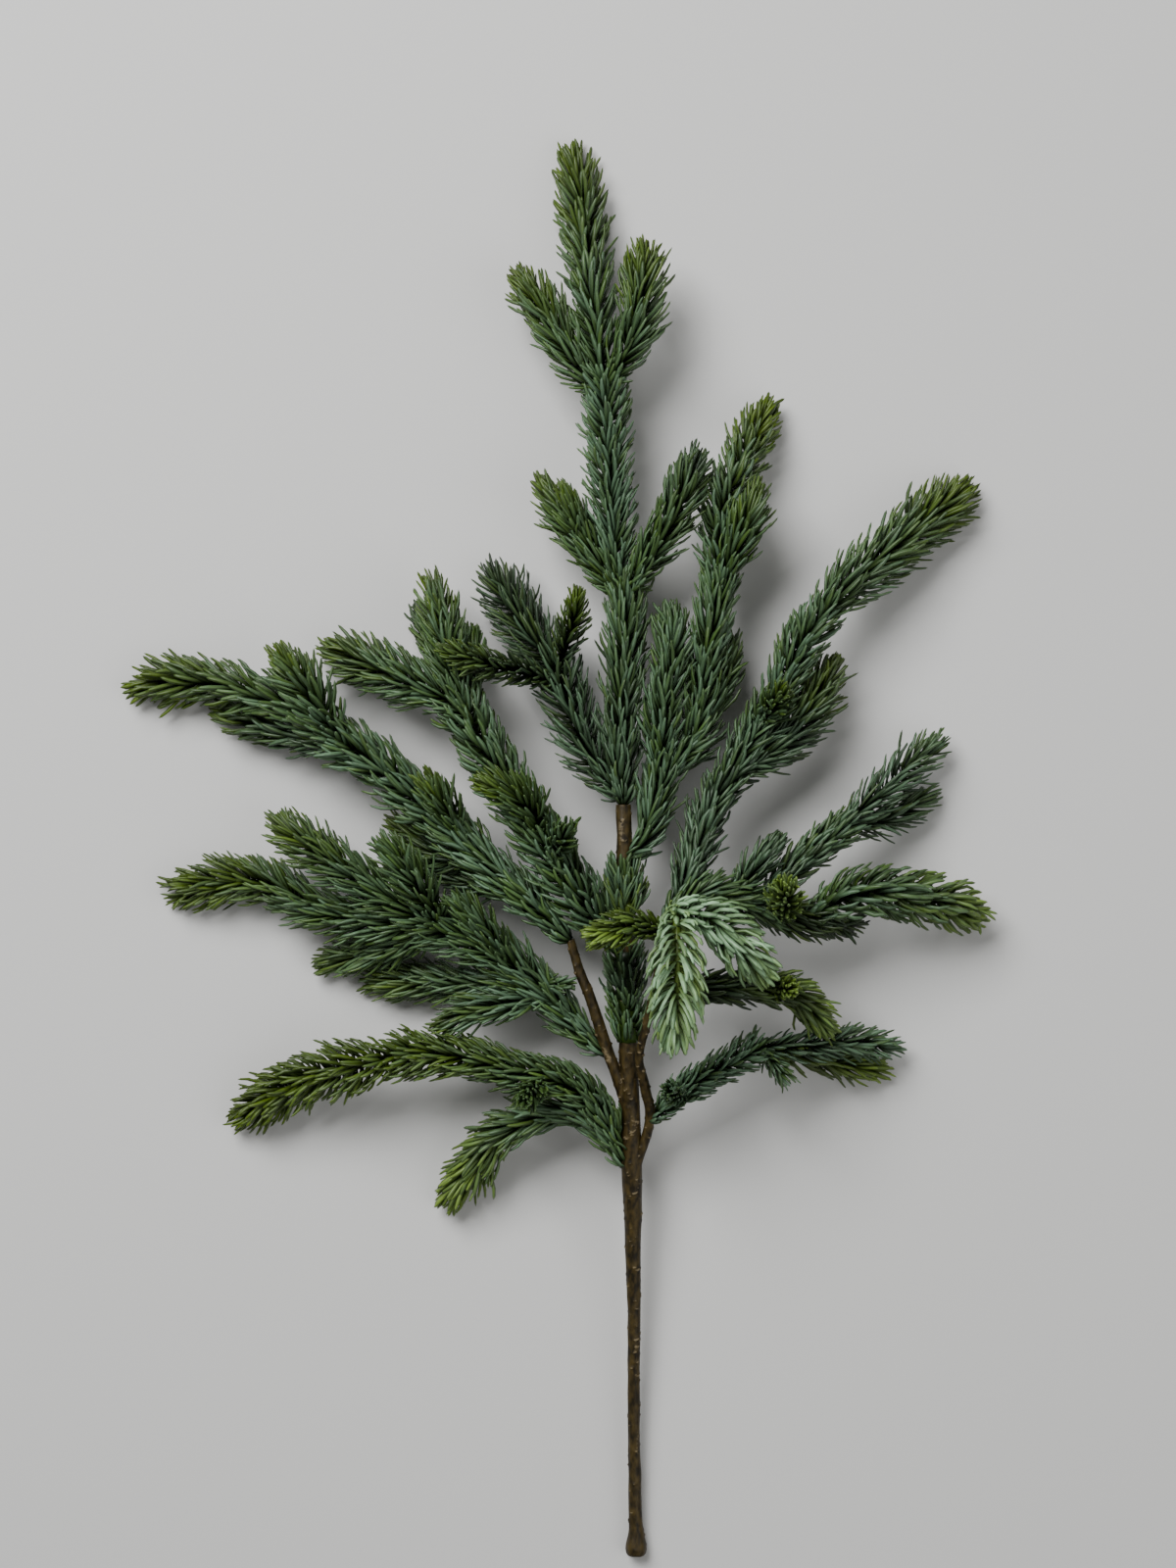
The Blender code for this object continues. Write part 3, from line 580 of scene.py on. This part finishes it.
def bent_paths(feet, ways, out, size, lean, curl, rng, stems, place, closing):
    """Return needle paths that start at the feet, lean out and curl forward."""
    steps = np.array([0.0] + [share for share, _ in NEEDLE_PROFILE])
    start = (lean + curl / 2)[:, None]
    turned = start - curl[:, None] * steps
    forward = (np.sin(start) - np.sin(turned)) / curl[:, None]
    outward = (np.cos(turned) - np.cos(start)) / curl[:, None]
    across = np.cross(ways, out)
    sway = rng.normal(0.0, 0.17, len(feet))[:, None] * steps ** 2
    paths = feet[:, None, :] + size[:, None, None] * (
        forward[..., None] * ways[:, None, :]
        + outward[..., None] * out[:, None, :]
        + sway[..., None] * across[:, None, :])
    low = paths[..., 2] < NEEDLE_LIFT
    paths[..., 2] = np.where(low, NEEDLE_LIFT + 0.12 * rng.random(len(feet))[:, None],
                             paths[..., 2])
    room = [np.linalg.norm(paths[:, 2:, None, :] - stems[None, None, i::3, :3], axis=-1)
            - stems[None, None, i::3, 3] for i in range(3)]
    free = np.minimum.reduce([gap.min(axis=(1, 2)) for gap in room]) > 0.2
    twist = rng.normal(0.0, 0.45, len(feet))
    level = np.cos(twist)[:, None] * across + np.sin(twist)[:, None] * out
    shade = rng.random(len(feet))
    return (paths[free], level[free], size[free], place[free], closing[free], out[free],
            shade[free])


def place_needles(points, faces, paths, level, girth, settings):
    """Copy the needle along every path, and return all points and all faces."""
    steps = np.array([0.0] + [share for share, _ in NEEDLE_PROFILE])
    rings = np.abs(points[:, 2:3] - steps).argmin(axis=1)
    ways = unit(np.gradient(paths, axis=1))
    sides = level[:, None, :] - ways * (ways * level[:, None, :]).sum(axis=-1, keepdims=True)
    sides = unit(sides)
    backs = np.cross(ways, sides)
    width = settings.width / MM * girth
    thick = settings.thickness / MM * girth
    where = (paths[:, rings] + sides[:, rings] * points[None, :, :1] * width
             + backs[:, rings] * points[None, :, 1:2] * thick)
    where[..., 2] = np.maximum(where[..., 2], 0.25)
    count = len(points)
    corners = []
    for i in range(len(paths)):
        corners.extend(tuple(corner + i * count for corner in face) for face in faces)
    return where.reshape(-1, 3), corners


CORE_SIDES = 8
CORE_STEP = 3.0


def core_tube(shoot, sleeve, free, settings):
    """Return the points and faces of the knobbly core under a shoot's needles."""
    line = smooth_line([drawn_in(row) for row in shoot.route], CORE_STEP)
    _, sides, tops = line_frames(line)
    span = line[-1] - line[0]
    length = CORE_STEP * (len(line) - 1)
    end = length - shoot.needle * TIP_SHARE if free else length
    keep = max(2, int(end / CORE_STEP) + 1)
    turns = np.arange(CORE_SIDES) * 2 * math.pi / CORE_SIDES
    rings = []
    for k in range(keep):
        radius = SLEEVE_CORE if sleeve else settings.core / MM * (1.0 - 0.35 * k / keep)
        wobble = 1.0 + 0.12 * np.sin(turns * 2 + k * 2.4)
        out = np.cos(turns)[:, None] * sides[k] + np.sin(turns)[:, None] * tops[k]
        rings.append(line[k] + out * (radius * wobble)[:, None])
    points = [ring for ring in rings]
    first = rings[0].mean(axis=0) - unit(span) * 0.3
    tail = rings[-1].mean(axis=0) + unit(span) * 1.2
    points = np.vstack(points + [first[None], tail[None]])
    faces = []
    for k in range(keep - 1):
        for i in range(CORE_SIDES):
            j = (i + 1) % CORE_SIDES
            a = k * CORE_SIDES
            b = a + CORE_SIDES
            faces.append((a + i, a + j, b + j, b + i))
    top = (keep - 1) * CORE_SIDES
    for i in range(CORE_SIDES):
        j = (i + 1) % CORE_SIDES
        faces.append((j, i, len(points) - 2))
        faces.append((top + i, top + j, len(points) - 1))
    return points, faces


def sprig_mesh(name, settings, colours, needle, stems, seed):
    """Build one sprig's needles and cores as one mesh with its colour attributes."""
    points, faces = needle
    starts = {sprig[0].route[0] for sprig in SPRIGS.values()}
    all_points = []
    all_faces = []
    all_colours = []
    all_blooms = []
    all_blades = []
    offset = 0
    for number, shoot in enumerate(SPRIGS[name]):
        sleeve = name in SLEEVES
        free = shoot.route[-1] not in starts and not sleeve
        rng = np.random.default_rng(settings.seed + 100 * seed + number)
        paths, level, size, place, closing, out, shade = needle_paths(
            shoot, sleeve, free, settings, rng, stems)
        where, corners = place_needles(points, faces, paths, level, shoot.girth, settings)
        plastic, bloom = needle_paint(shoot, colours, place, closing, out, shade)
        count = len(points)
        blade = np.tile(np.stack((points[:, 0] * 2, points[:, 2], points[:, 1] * 2), axis=1),
                        (len(paths), 1))
        blade[:, 2] = np.repeat(shade, count)
        all_points.append(where)
        all_faces.extend(tuple(corner + offset for corner in face) for face in corners)
        all_colours.append(np.repeat(plastic, count, axis=0))
        all_blooms.append(np.repeat(bloom, count) * (0.25 + 0.75 * np.tile(
            (points[:, 2] * 2.2).clip(0.0, 1.0), len(paths))))
        all_blades.append(blade)
        offset += len(where)
        where, corners = core_tube(shoot, sleeve, free, settings)
        all_points.append(where)
        all_faces.extend(tuple(corner + offset for corner in face) for face in corners)
        # Painted shade: the core is painted darker than its plastic, and its blade place gives it
        # the painted root shade of the needles, lighter for a sleeve's tube, as the shade between
        # the needles.
        dark = np.array(getattr(colours, shoot.plastic[0])) * 0.8
        all_colours.append(np.tile(dark, (len(where), 1)))
        all_blooms.append(np.zeros(len(where)))
        all_blades.append(np.tile((0.0, 0.4 if sleeve else 0.0, 0.5), (len(where), 1)))
        offset += len(where)
    mesh = bpy.data.meshes.new(f"{name}_needles")
    mesh.from_pydata((np.vstack(all_points) * MM).tolist(), [], all_faces)
    mesh.shade_smooth()
    plastic = np.vstack(all_colours)
    paint = mesh.attributes.new("plastic", "FLOAT_COLOR", "POINT")
    paint.data.foreach_set("color", np.hstack((plastic, np.ones((len(plastic), 1)))).ravel())
    bloom = mesh.attributes.new("bloom", "FLOAT", "POINT")
    bloom.data.foreach_set("value", np.concatenate(all_blooms))
    blade = mesh.attributes.new("blade", "FLOAT_VECTOR", "POINT")
    blade.data.foreach_set("vector", np.vstack(all_blades).ravel())
    return mesh


def needle_paint(shoot, colours, place, closing, out, shade):
    """Return each needle's plastic colour and how much bloom it carries."""
    base, tip = [np.array(getattr(colours, tone)) for tone in shoot.plastic]
    turned = ((place - 0.35) / 0.5 + (shade - 0.5) * 0.5).clip(0.0, 1.0)
    turned = np.maximum(turned, closing)[:, None]
    plastic = base * (1.0 - turned) + tip * turned
    odd = ((shade * 7.3) % 1.0)[:, None] ** 2 * 0.55
    plastic = plastic * (1.0 - odd) + np.array(colours.olive) * odd
    plastic = plastic * (0.70 + 0.60 * shade[:, None])
    bloom = shoot.bloom[0] * (1.0 - turned[:, 0]) + shoot.bloom[1] * turned[:, 0]
    facing = 0.45 + 0.55 * ((out[:, 2] + 0.5) / 1.1).clip(0.0, 1.0)
    return plastic, bloom * facing * (0.25 + 1.15 * ((shade * 3.1) % 1.0))


def add_node(tree, kind, **settings):
    """Add a shader node, with its plain settings."""
    node = tree.nodes.new(kind)
    for key, value in settings.items():
        setattr(node, key, value)
    return node


def math_node(tree, operation, first, second):
    """Add a math node on two links or numbers, and return its output."""
    node = add_node(tree, "ShaderNodeMath", operation=operation)
    for socket, value in zip(node.inputs, (first, second)):
        if isinstance(value, (int, float)):
            socket.default_value = value
        else:
            tree.links.new(value, socket)
    return node.outputs["Value"]


def mix_colour(tree, factor, first, second, blend="MIX"):
    """Mix two colours, each given as a link or as a colour, and return the output."""
    node = add_node(tree, "ShaderNodeMix", data_type="RGBA", blend_type=blend)
    for socket, value in ((node.inputs[0], factor), (node.inputs[6], first),
                          (node.inputs[7], second)):
        if isinstance(value, bpy.types.NodeSocket):
            tree.links.new(value, socket)
        elif isinstance(value, (int, float)):
            socket.default_value = value
        else:
            socket.default_value = (*value, 1.0)
    return node.outputs[2]


def noise(tree, scale, detail=2.0, stretch=(1.0, 1.0, 1.0)):
    """Add noise on the piece's own coordinates, and return its value."""
    place = add_node(tree, "ShaderNodeTexCoord")
    mapping = add_node(tree, "ShaderNodeMapping")
    mapping.inputs["Scale"].default_value = stretch
    texture = add_node(tree, "ShaderNodeTexNoise")
    texture.inputs["Scale"].default_value = scale
    texture.inputs["Detail"].default_value = detail
    tree.links.new(place.outputs["Object"], mapping.inputs["Vector"])
    tree.links.new(mapping.outputs["Vector"], texture.inputs["Vector"])
    return texture.outputs["Fac"]


def needle_material(name, bloom_colour, root_shade):
    """Return moulded plastic with a bloom sprayed over it, painted highlights on its edges, and
    painted shade.
    """
    made = bpy.data.materials.new(name)
    made.use_nodes = True
    tree = made.node_tree
    shader = tree.nodes["Principled BSDF"]
    plastic = add_node(tree, "ShaderNodeAttribute", attribute_name="plastic")
    bloom = add_node(tree, "ShaderNodeAttribute", attribute_name="bloom")
    blade = add_node(tree, "ShaderNodeAttribute", attribute_name="blade")
    parts = add_node(tree, "ShaderNodeSeparateXYZ")
    tree.links.new(blade.outputs["Vector"], parts.inputs["Vector"])
    mottle = noise(tree, 420.0, 3.0)
    cover = math_node(tree, "MULTIPLY", bloom.outputs["Fac"],
                      math_node(tree, "MULTIPLY_ADD", mottle, 1.3))
    cover.node.inputs[1].links[0].from_node.inputs[2].default_value = 0.3
    cover.node.use_clamp = True
    coated = mix_colour(tree, cover, plastic.outputs["Color"], bloom_colour)
    # Painted highlight: a needle's edges are painted paler, more so where its bloom lies, as the
    # highlights that light gives along them.
    edge = math_node(tree, "POWER", math_node(tree, "ABSOLUTE", parts.outputs["X"], 0.0), 5.0)
    painted_edge_highlight = math_node(tree, "MULTIPLY", math_node(tree, "MULTIPLY", edge, 0.75), cover)
    with_painted_highlight = mix_colour(tree, painted_edge_highlight, coated, tuple(min(1.0, c * 2.4 + 0.02) for c in bloom_colour))
    # Painted shade: one side of the blade, across its rib, is painted darker than the other, as a
    # facet turned away from the light.
    painted_facet_shade = add_node(tree, "ShaderNodeMapRange")
    painted_facet_shade.inputs["From Min"].default_value = -0.15
    painted_facet_shade.inputs["From Max"].default_value = 0.15
    painted_facet_shade.inputs["To Min"].default_value = 0.72
    tree.links.new(parts.outputs["X"], painted_facet_shade.inputs["Value"])
    # Painted shade: a needle is painted darker towards its root, down to the root shade, where the
    # needles around it would shade it. The same painted shade lowers its specular there.
    root = add_node(tree, "ShaderNodeMapRange")
    tree.links.new(parts.outputs["Y"], root.inputs["Value"])
    root.inputs["From Max"].default_value = 0.64
    root.inputs["To Min"].default_value = root_shade
    # The painted root shade and the painted facet shade darken the colour here.
    shaded = mix_colour(tree, 1.0, with_painted_highlight, (1.0, 1.0, 1.0), "MULTIPLY")
    tree.links.new(math_node(tree, "MULTIPLY", root.outputs["Result"], painted_facet_shade.outputs["Result"]),
                   shaded.node.inputs[7])
    tree.links.new(shaded, shader.inputs["Base Color"])
    rough = math_node(tree, "MULTIPLY_ADD", mottle, 0.25)
    rough.node.inputs[2].default_value = 0.28
    tree.links.new(rough, shader.inputs["Roughness"])
    tree.links.new(math_node(tree, "MULTIPLY", root.outputs["Result"], 0.38),
                   shader.inputs["Specular IOR Level"])
    bump = add_node(tree, "ShaderNodeBump")
    bump.inputs["Strength"].default_value = 0.35
    bump.inputs["Distance"].default_value = 0.2 * MM
    tree.links.new(noise(tree, 1500.0), bump.inputs["Height"])
    tree.links.new(bump.outputs["Normal"], shader.inputs["Normal"])
    return made


def bark_material(brown, fleck_and_highlight):
    """Return brown moulded bark with darker creases, pale flecks of wear, and a painted highlight
    on its scars and ridges that stand out.
    """
    made = bpy.data.materials.new("moulded_bark")
    made.use_nodes = True
    tree = made.node_tree
    shader = tree.nodes["Principled BSDF"]
    relief = add_node(tree, "ShaderNodeAttribute", attribute_name="relief")
    grain = noise(tree, 400.0, 5.0, (1.0, 0.45, 1.0))
    patches = add_node(tree, "ShaderNodeMapRange")
    patches.inputs["From Min"].default_value = 0.36
    patches.inputs["From Max"].default_value = 0.66
    tree.links.new(grain, patches.inputs["Value"])
    dark = tuple(c * 0.35 for c in brown)
    light = tuple(c * 1.9 for c in brown)
    wood = mix_colour(tree, patches.outputs["Result"], dark, light)
    spots = noise(tree, 700.0, 4.0)
    worn_and_highlit = add_node(tree, "ShaderNodeMapRange")
    worn_and_highlit.inputs["From Min"].default_value = 0.80
    worn_and_highlit.inputs["From Max"].default_value = 1.02
    # Painted highlight: where the relief stands out, on scars and ridges, the bark is painted pale
    # like the flecks of wear, as the highlights that light gives on them. The flecks from the
    # noise are wear.
    painted_scar_highlight = math_node(tree, "MULTIPLY_ADD", relief.outputs["Fac"], 0.45)
    painted_scar_highlight.node.inputs[2].default_value = 0.0
    tree.links.new(math_node(tree, "ADD", spots, painted_scar_highlight), worn_and_highlit.inputs["Value"])
    tree.links.new(mix_colour(tree, math_node(tree, "MULTIPLY", worn_and_highlit.outputs["Result"], 0.6),
                              wood, fleck_and_highlight), shader.inputs["Base Color"])
    shader.inputs["Roughness"].default_value = 0.5
    shader.inputs["Specular IOR Level"].default_value = 0.25
    bump = add_node(tree, "ShaderNodeBump")
    bump.inputs["Strength"].default_value = 0.6
    bump.inputs["Distance"].default_value = 0.3 * MM
    tree.links.new(grain, bump.inputs["Height"])
    tree.links.new(bump.outputs["Normal"], shader.inputs["Normal"])
    return made


def needle_materials(colours):
    """Return the needle material of each slot, made on first use."""
    made = {}
    # The last value of each slot is how dark its needles are painted at their roots, a painted
    # shade.
    for slot, bloom, shade in (
            ("needles_blue_green", colours.bloom, 0.05), ("needles_olive", colours.bloom, 0.08),
            ("needles_dark", colours.bloom, 0.03), ("needles_pale", colours.frost, 0.60)):
        name = f"moulded_{slot}"
        made[slot] = (bpy.data.materials.get(name)
                      or needle_material(name, tuple(bloom), shade))
    return made


def node_slots():
    """Return the material slot that the record gives each node."""
    return {entry["node"]: entry["material_slot"] for entry in frame["record"]["subparts"]}


def dress_sprigs(context, names):
    """Put the needles of the named sprigs in place of their solids."""
    scene = context.scene
    materials = needle_materials(scene.spruce_colours)
    slots = node_slots()
    needle = model_needle()
    stems = stem_points()
    order = list(SPRIGS)
    for name in names:
        mesh = sprig_mesh(name, scene.spruce_needles, scene.spruce_colours, needle, stems,
                          order.index(name))
        mesh.materials.append(materials[slots[name]])
        piece = bpy.data.objects.new(f"{name}_needles", mesh)
        context.collection.objects.link(piece)
        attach(piece, "root")
        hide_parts(name)


class SPRUCE_OT_stems(Operator):
    """Model the bark of the three stems, each along its own route"""

    bl_idname = "spruce.stems"
    bl_label = "Bark stems"

    def execute(self, context):
        bark = context.scene.spruce_bark
        material = bark_material(tuple(bark.brown), tuple(bark.fleck_and_highlight))
        for seed, name in enumerate(STEMS):
            piece = model_stem(name, bark.relief, seed)
            piece.data.materials.append(material)
            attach(piece, "root")
            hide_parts(name)
        return {"FINISHED"}


WANDER_ROWS = 12         # rows of a stem over which its creases change
STEM_SIDES = 36
STEM_STEP = 0.7
SCAR_SPACING = 2.1


def model_stem(name, relief, seed):
    """Sweep a stem along its route, then raise its scars and creases."""
    line = smooth_line([drawn_in(row) for row in STEMS[name]], STEM_STEP)
    deselect_all()
    bpy.ops.mesh.primitive_cylinder_add(vertices=STEM_SIDES, radius=1.0, depth=1.0,
                                        end_fill_type="TRIFAN")
    piece = active_mesh(f"{name}_bark")
    shape = bmesh.new()
    shape.from_mesh(piece.data)
    walls = [edge for edge in shape.edges if abs(edge.verts[0].co.z - edge.verts[1].co.z) > 0.5]
    bmesh.ops.subdivide_edges(shape, edges=walls, cuts=len(line) - 2, use_grid_fill=True)
    rng = np.random.default_rng(900 + seed)
    ways, sides, tops = line_frames(line)
    wander = rng.normal(0.0, 1.0, (len(line) // WANDER_ROWS + 3, 6))
    heights = []
    scars = [(along + rng.normal(0.0, 1.5), rng.uniform(0, 2 * math.pi), rng.uniform(0.6, 1.2))
             for along in np.arange(4.0, STEM_STEP * len(line), SCAR_SPACING)]
    for vertex in shape.verts:
        share = vertex.co.z + 0.5
        k = min(len(line) - 1, int(round(share * (len(line) - 1))))
        turn = math.atan2(vertex.co.y, vertex.co.x)
        radial = math.hypot(vertex.co.x, vertex.co.y)
        rise = bark_rise(k * STEM_STEP, turn, scars, wander, k, line[k, 3])
        radius = (line[k, 3] + rise * relief / MM) * radial
        out = sides[k] * math.cos(turn) + tops[k] * math.sin(turn)
        place = line[k, :3] + out * radius
        vertex.co = np.maximum(place, (-1e9, -1e9, 0.05)) * MM
        heights.append(rise)
    shape.to_mesh(piece.data)
    shape.free()
    piece.data.shade_smooth()
    attribute = piece.data.attributes.new("relief", "FLOAT", "POINT")
    attribute.data.foreach_set("value", np.clip(heights, -1.0, 2.0))
    deselect_all()
    piece.select_set(True)
    bpy.context.view_layer.objects.active = piece
    bpy.ops.object.mode_set(mode="EDIT")
    bpy.ops.mesh.select_all(action="SELECT")
    bpy.ops.mesh.normals_make_consistent(inside=False)
    bpy.ops.object.mode_set(mode="OBJECT")
    return piece


def bark_rise(along, turn, scars, wander, k, radius):
    """Return how far the bark stands out, with 1 for one full relief."""
    between = k % WANDER_ROWS / WANDER_ROWS
    row = wander[k // WANDER_ROWS] * (1 - between) + wander[k // WANDER_ROWS + 1] * between
    ridges = (row[0] * math.cos(turn) + row[1] * math.sin(turn) + row[2] * math.cos(2 * turn)
              + row[3] * math.sin(2 * turn) + row[4] * math.cos(3 * turn)
              + row[5] * math.sin(5 * turn))
    rise = 0.22 * ridges
    for place, angle, size in scars:
        step = along - place
        if abs(step) > 3.0:
            continue
        swing = (turn - angle + math.pi) % (2 * math.pi) - math.pi
        reach = swing * radius / 1.5
        lip = step - 0.6 * reach ** 2
        rise += 1.5 * size * math.exp(-(lip / 0.45) ** 2 - reach ** 2)
    return rise


class SPRUCE_OT_leader(Operator):
    """Needle the upright leader and its crown"""

    bl_idname = "spruce.leader"
    bl_label = "Leader and crown"

    def execute(self, context):
        dress_sprigs(context, LEADER)
        return {"FINISHED"}


class SPRUCE_OT_sleeves(Operator):
    """Needle the two sleeves that are slid over the main stem"""

    bl_idname = "spruce.sleeves"
    bl_label = "Stem sleeves"

    def execute(self, context):
        dress_sprigs(context, STEM_SLEEVES)
        return {"FINISHED"}


class SPRUCE_OT_right(Operator):
    """Needle the sprigs on the right"""

    bl_idname = "spruce.right"
    bl_label = "Right sprigs"

    def execute(self, context):
        dress_sprigs(context, RIGHT)
        return {"FINISHED"}


class SPRUCE_OT_front(Operator):
    """Needle the sprigs that stand out to the front, two of them frosted"""

    bl_idname = "spruce.front"
    bl_label = "Front sprigs"

    def execute(self, context):
        dress_sprigs(context, FRONT)
        return {"FINISHED"}


class SPRUCE_OT_upper_left(Operator):
    """Needle the two long sprigs on the upper left"""

    bl_idname = "spruce.upper_left"
    bl_label = "Upper left sprigs"

    def execute(self, context):
        dress_sprigs(context, UPPER_LEFT)
        return {"FINISHED"}


class SPRUCE_OT_lower_left(Operator):
    """Needle the sprigs on the lower left"""

    bl_idname = "spruce.lower_left"
    bl_label = "Lower left sprigs"

    def execute(self, context):
        dress_sprigs(context, LOWER_LEFT)
        return {"FINISHED"}


class SPRUCE_OT_stage(Operator):
    """Lay the floor, hang the soft lights and set up the camera"""

    bl_idname = "spruce.stage"
    bl_label = "Stage"

    def execute(self, context):
        stage = context.scene.spruce_stage
        deselect_all()
        bpy.ops.mesh.primitive_plane_add(size=12.0, location=(0.0, 0.0, -0.0002))
        floor = active_mesh("floor")
        bpy.ops.object.transform_apply(location=True)
        floor.data.materials.append(floor_material(tuple(stage.floor)))
        add_light("key", (-0.75, 1.1, 1.7), 1.2, stage.key)
        add_light("fill", (1.3, -0.5, 1.6), 1.6, stage.key * 0.18)
        world = context.scene.world or bpy.data.worlds.new("studio")
        context.scene.world = world
        world.use_nodes = True
        background = world.node_tree.nodes["Background"]
        background.inputs["Color"].default_value = (1.0, 1.0, 0.97, 1.0)
        background.inputs["Strength"].default_value = 0.18
        bpy.ops.object.camera_add(
            location=((EYE_X + SHIFT_X) * MM, EYE_Y * MM, EYE_HEIGHT * MM), rotation=(0, 0, 0))
        camera = bpy.context.object
        camera.name = "camera"
        camera.data.sensor_fit = "VERTICAL"
        camera.data.lens = camera.data.sensor_height * EYE_HEIGHT * MM / stage.view_height
        context.scene.camera = camera
        return {"FINISHED"}


def floor_material(colour):
    """Return a plain matt floor."""
    made = bpy.data.materials.new("floor")
    made.use_nodes = True
    shader = made.node_tree.nodes["Principled BSDF"]
    shader.inputs["Base Color"].default_value = (*colour, 1.0)
    shader.inputs["Roughness"].default_value = 0.9
    return made


def add_light(name, place, size, power):
    """Hang a square soft light that faces the spray."""
    bpy.ops.object.light_add(type="AREA", location=place)
    light = bpy.context.object
    light.name = name
    light.data.size = size
    light.data.energy = power
    light.rotation_euler = (-light.location).to_track_quat("-Z", "Y").to_euler()


class SPRUCE_PT_panel(Panel):
    """Lists the pieces of the spray and the values that shape them"""

    bl_label = "Blue Spruce Branch"
    bl_space_type = "VIEW_3D"
    bl_region_type = "UI"
    bl_category = "Spruce"

    def draw(self, context):
        for operator in OPERATORS:
            self.layout.operator(operator.bl_idname)
        for name in GROUPS:
            group = getattr(context.scene, name)
            box = self.layout.box()
            for key in group.__annotations__:
                box.prop(group, key)


OPERATORS = (SPRUCE_OT_stems, SPRUCE_OT_leader, SPRUCE_OT_sleeves, SPRUCE_OT_right,
             SPRUCE_OT_front, SPRUCE_OT_upper_left, SPRUCE_OT_lower_left, SPRUCE_OT_stage)
GROUPS = {
    "spruce_needles": NeedleSettings,
    "spruce_colours": PlasticColours,
    "spruce_bark": BarkSettings,
    "spruce_stage": StageSettings,
}


def register():
    for group in GROUPS.values():
        bpy.utils.register_class(group)
    for name, group in GROUPS.items():
        setattr(bpy.types.Scene, name, PointerProperty(type=group))
    for operator in OPERATORS:
        bpy.utils.register_class(operator)
    bpy.utils.register_class(SPRUCE_PT_panel)


def unregister():
    bpy.utils.unregister_class(SPRUCE_PT_panel)
    for operator in reversed(OPERATORS):
        bpy.utils.unregister_class(operator)
    for name, group in GROUPS.items():
        delattr(bpy.types.Scene, name)
        bpy.utils.unregister_class(group)


def main():
    register()
    bpy.ops.spruce.stems()
    bpy.ops.spruce.leader()
    bpy.ops.spruce.sleeves()
    bpy.ops.spruce.right()
    bpy.ops.spruce.front()
    bpy.ops.spruce.upper_left()
    bpy.ops.spruce.lower_left()
    bpy.ops.spruce.stage()


if __name__ == "__main__":
    main()
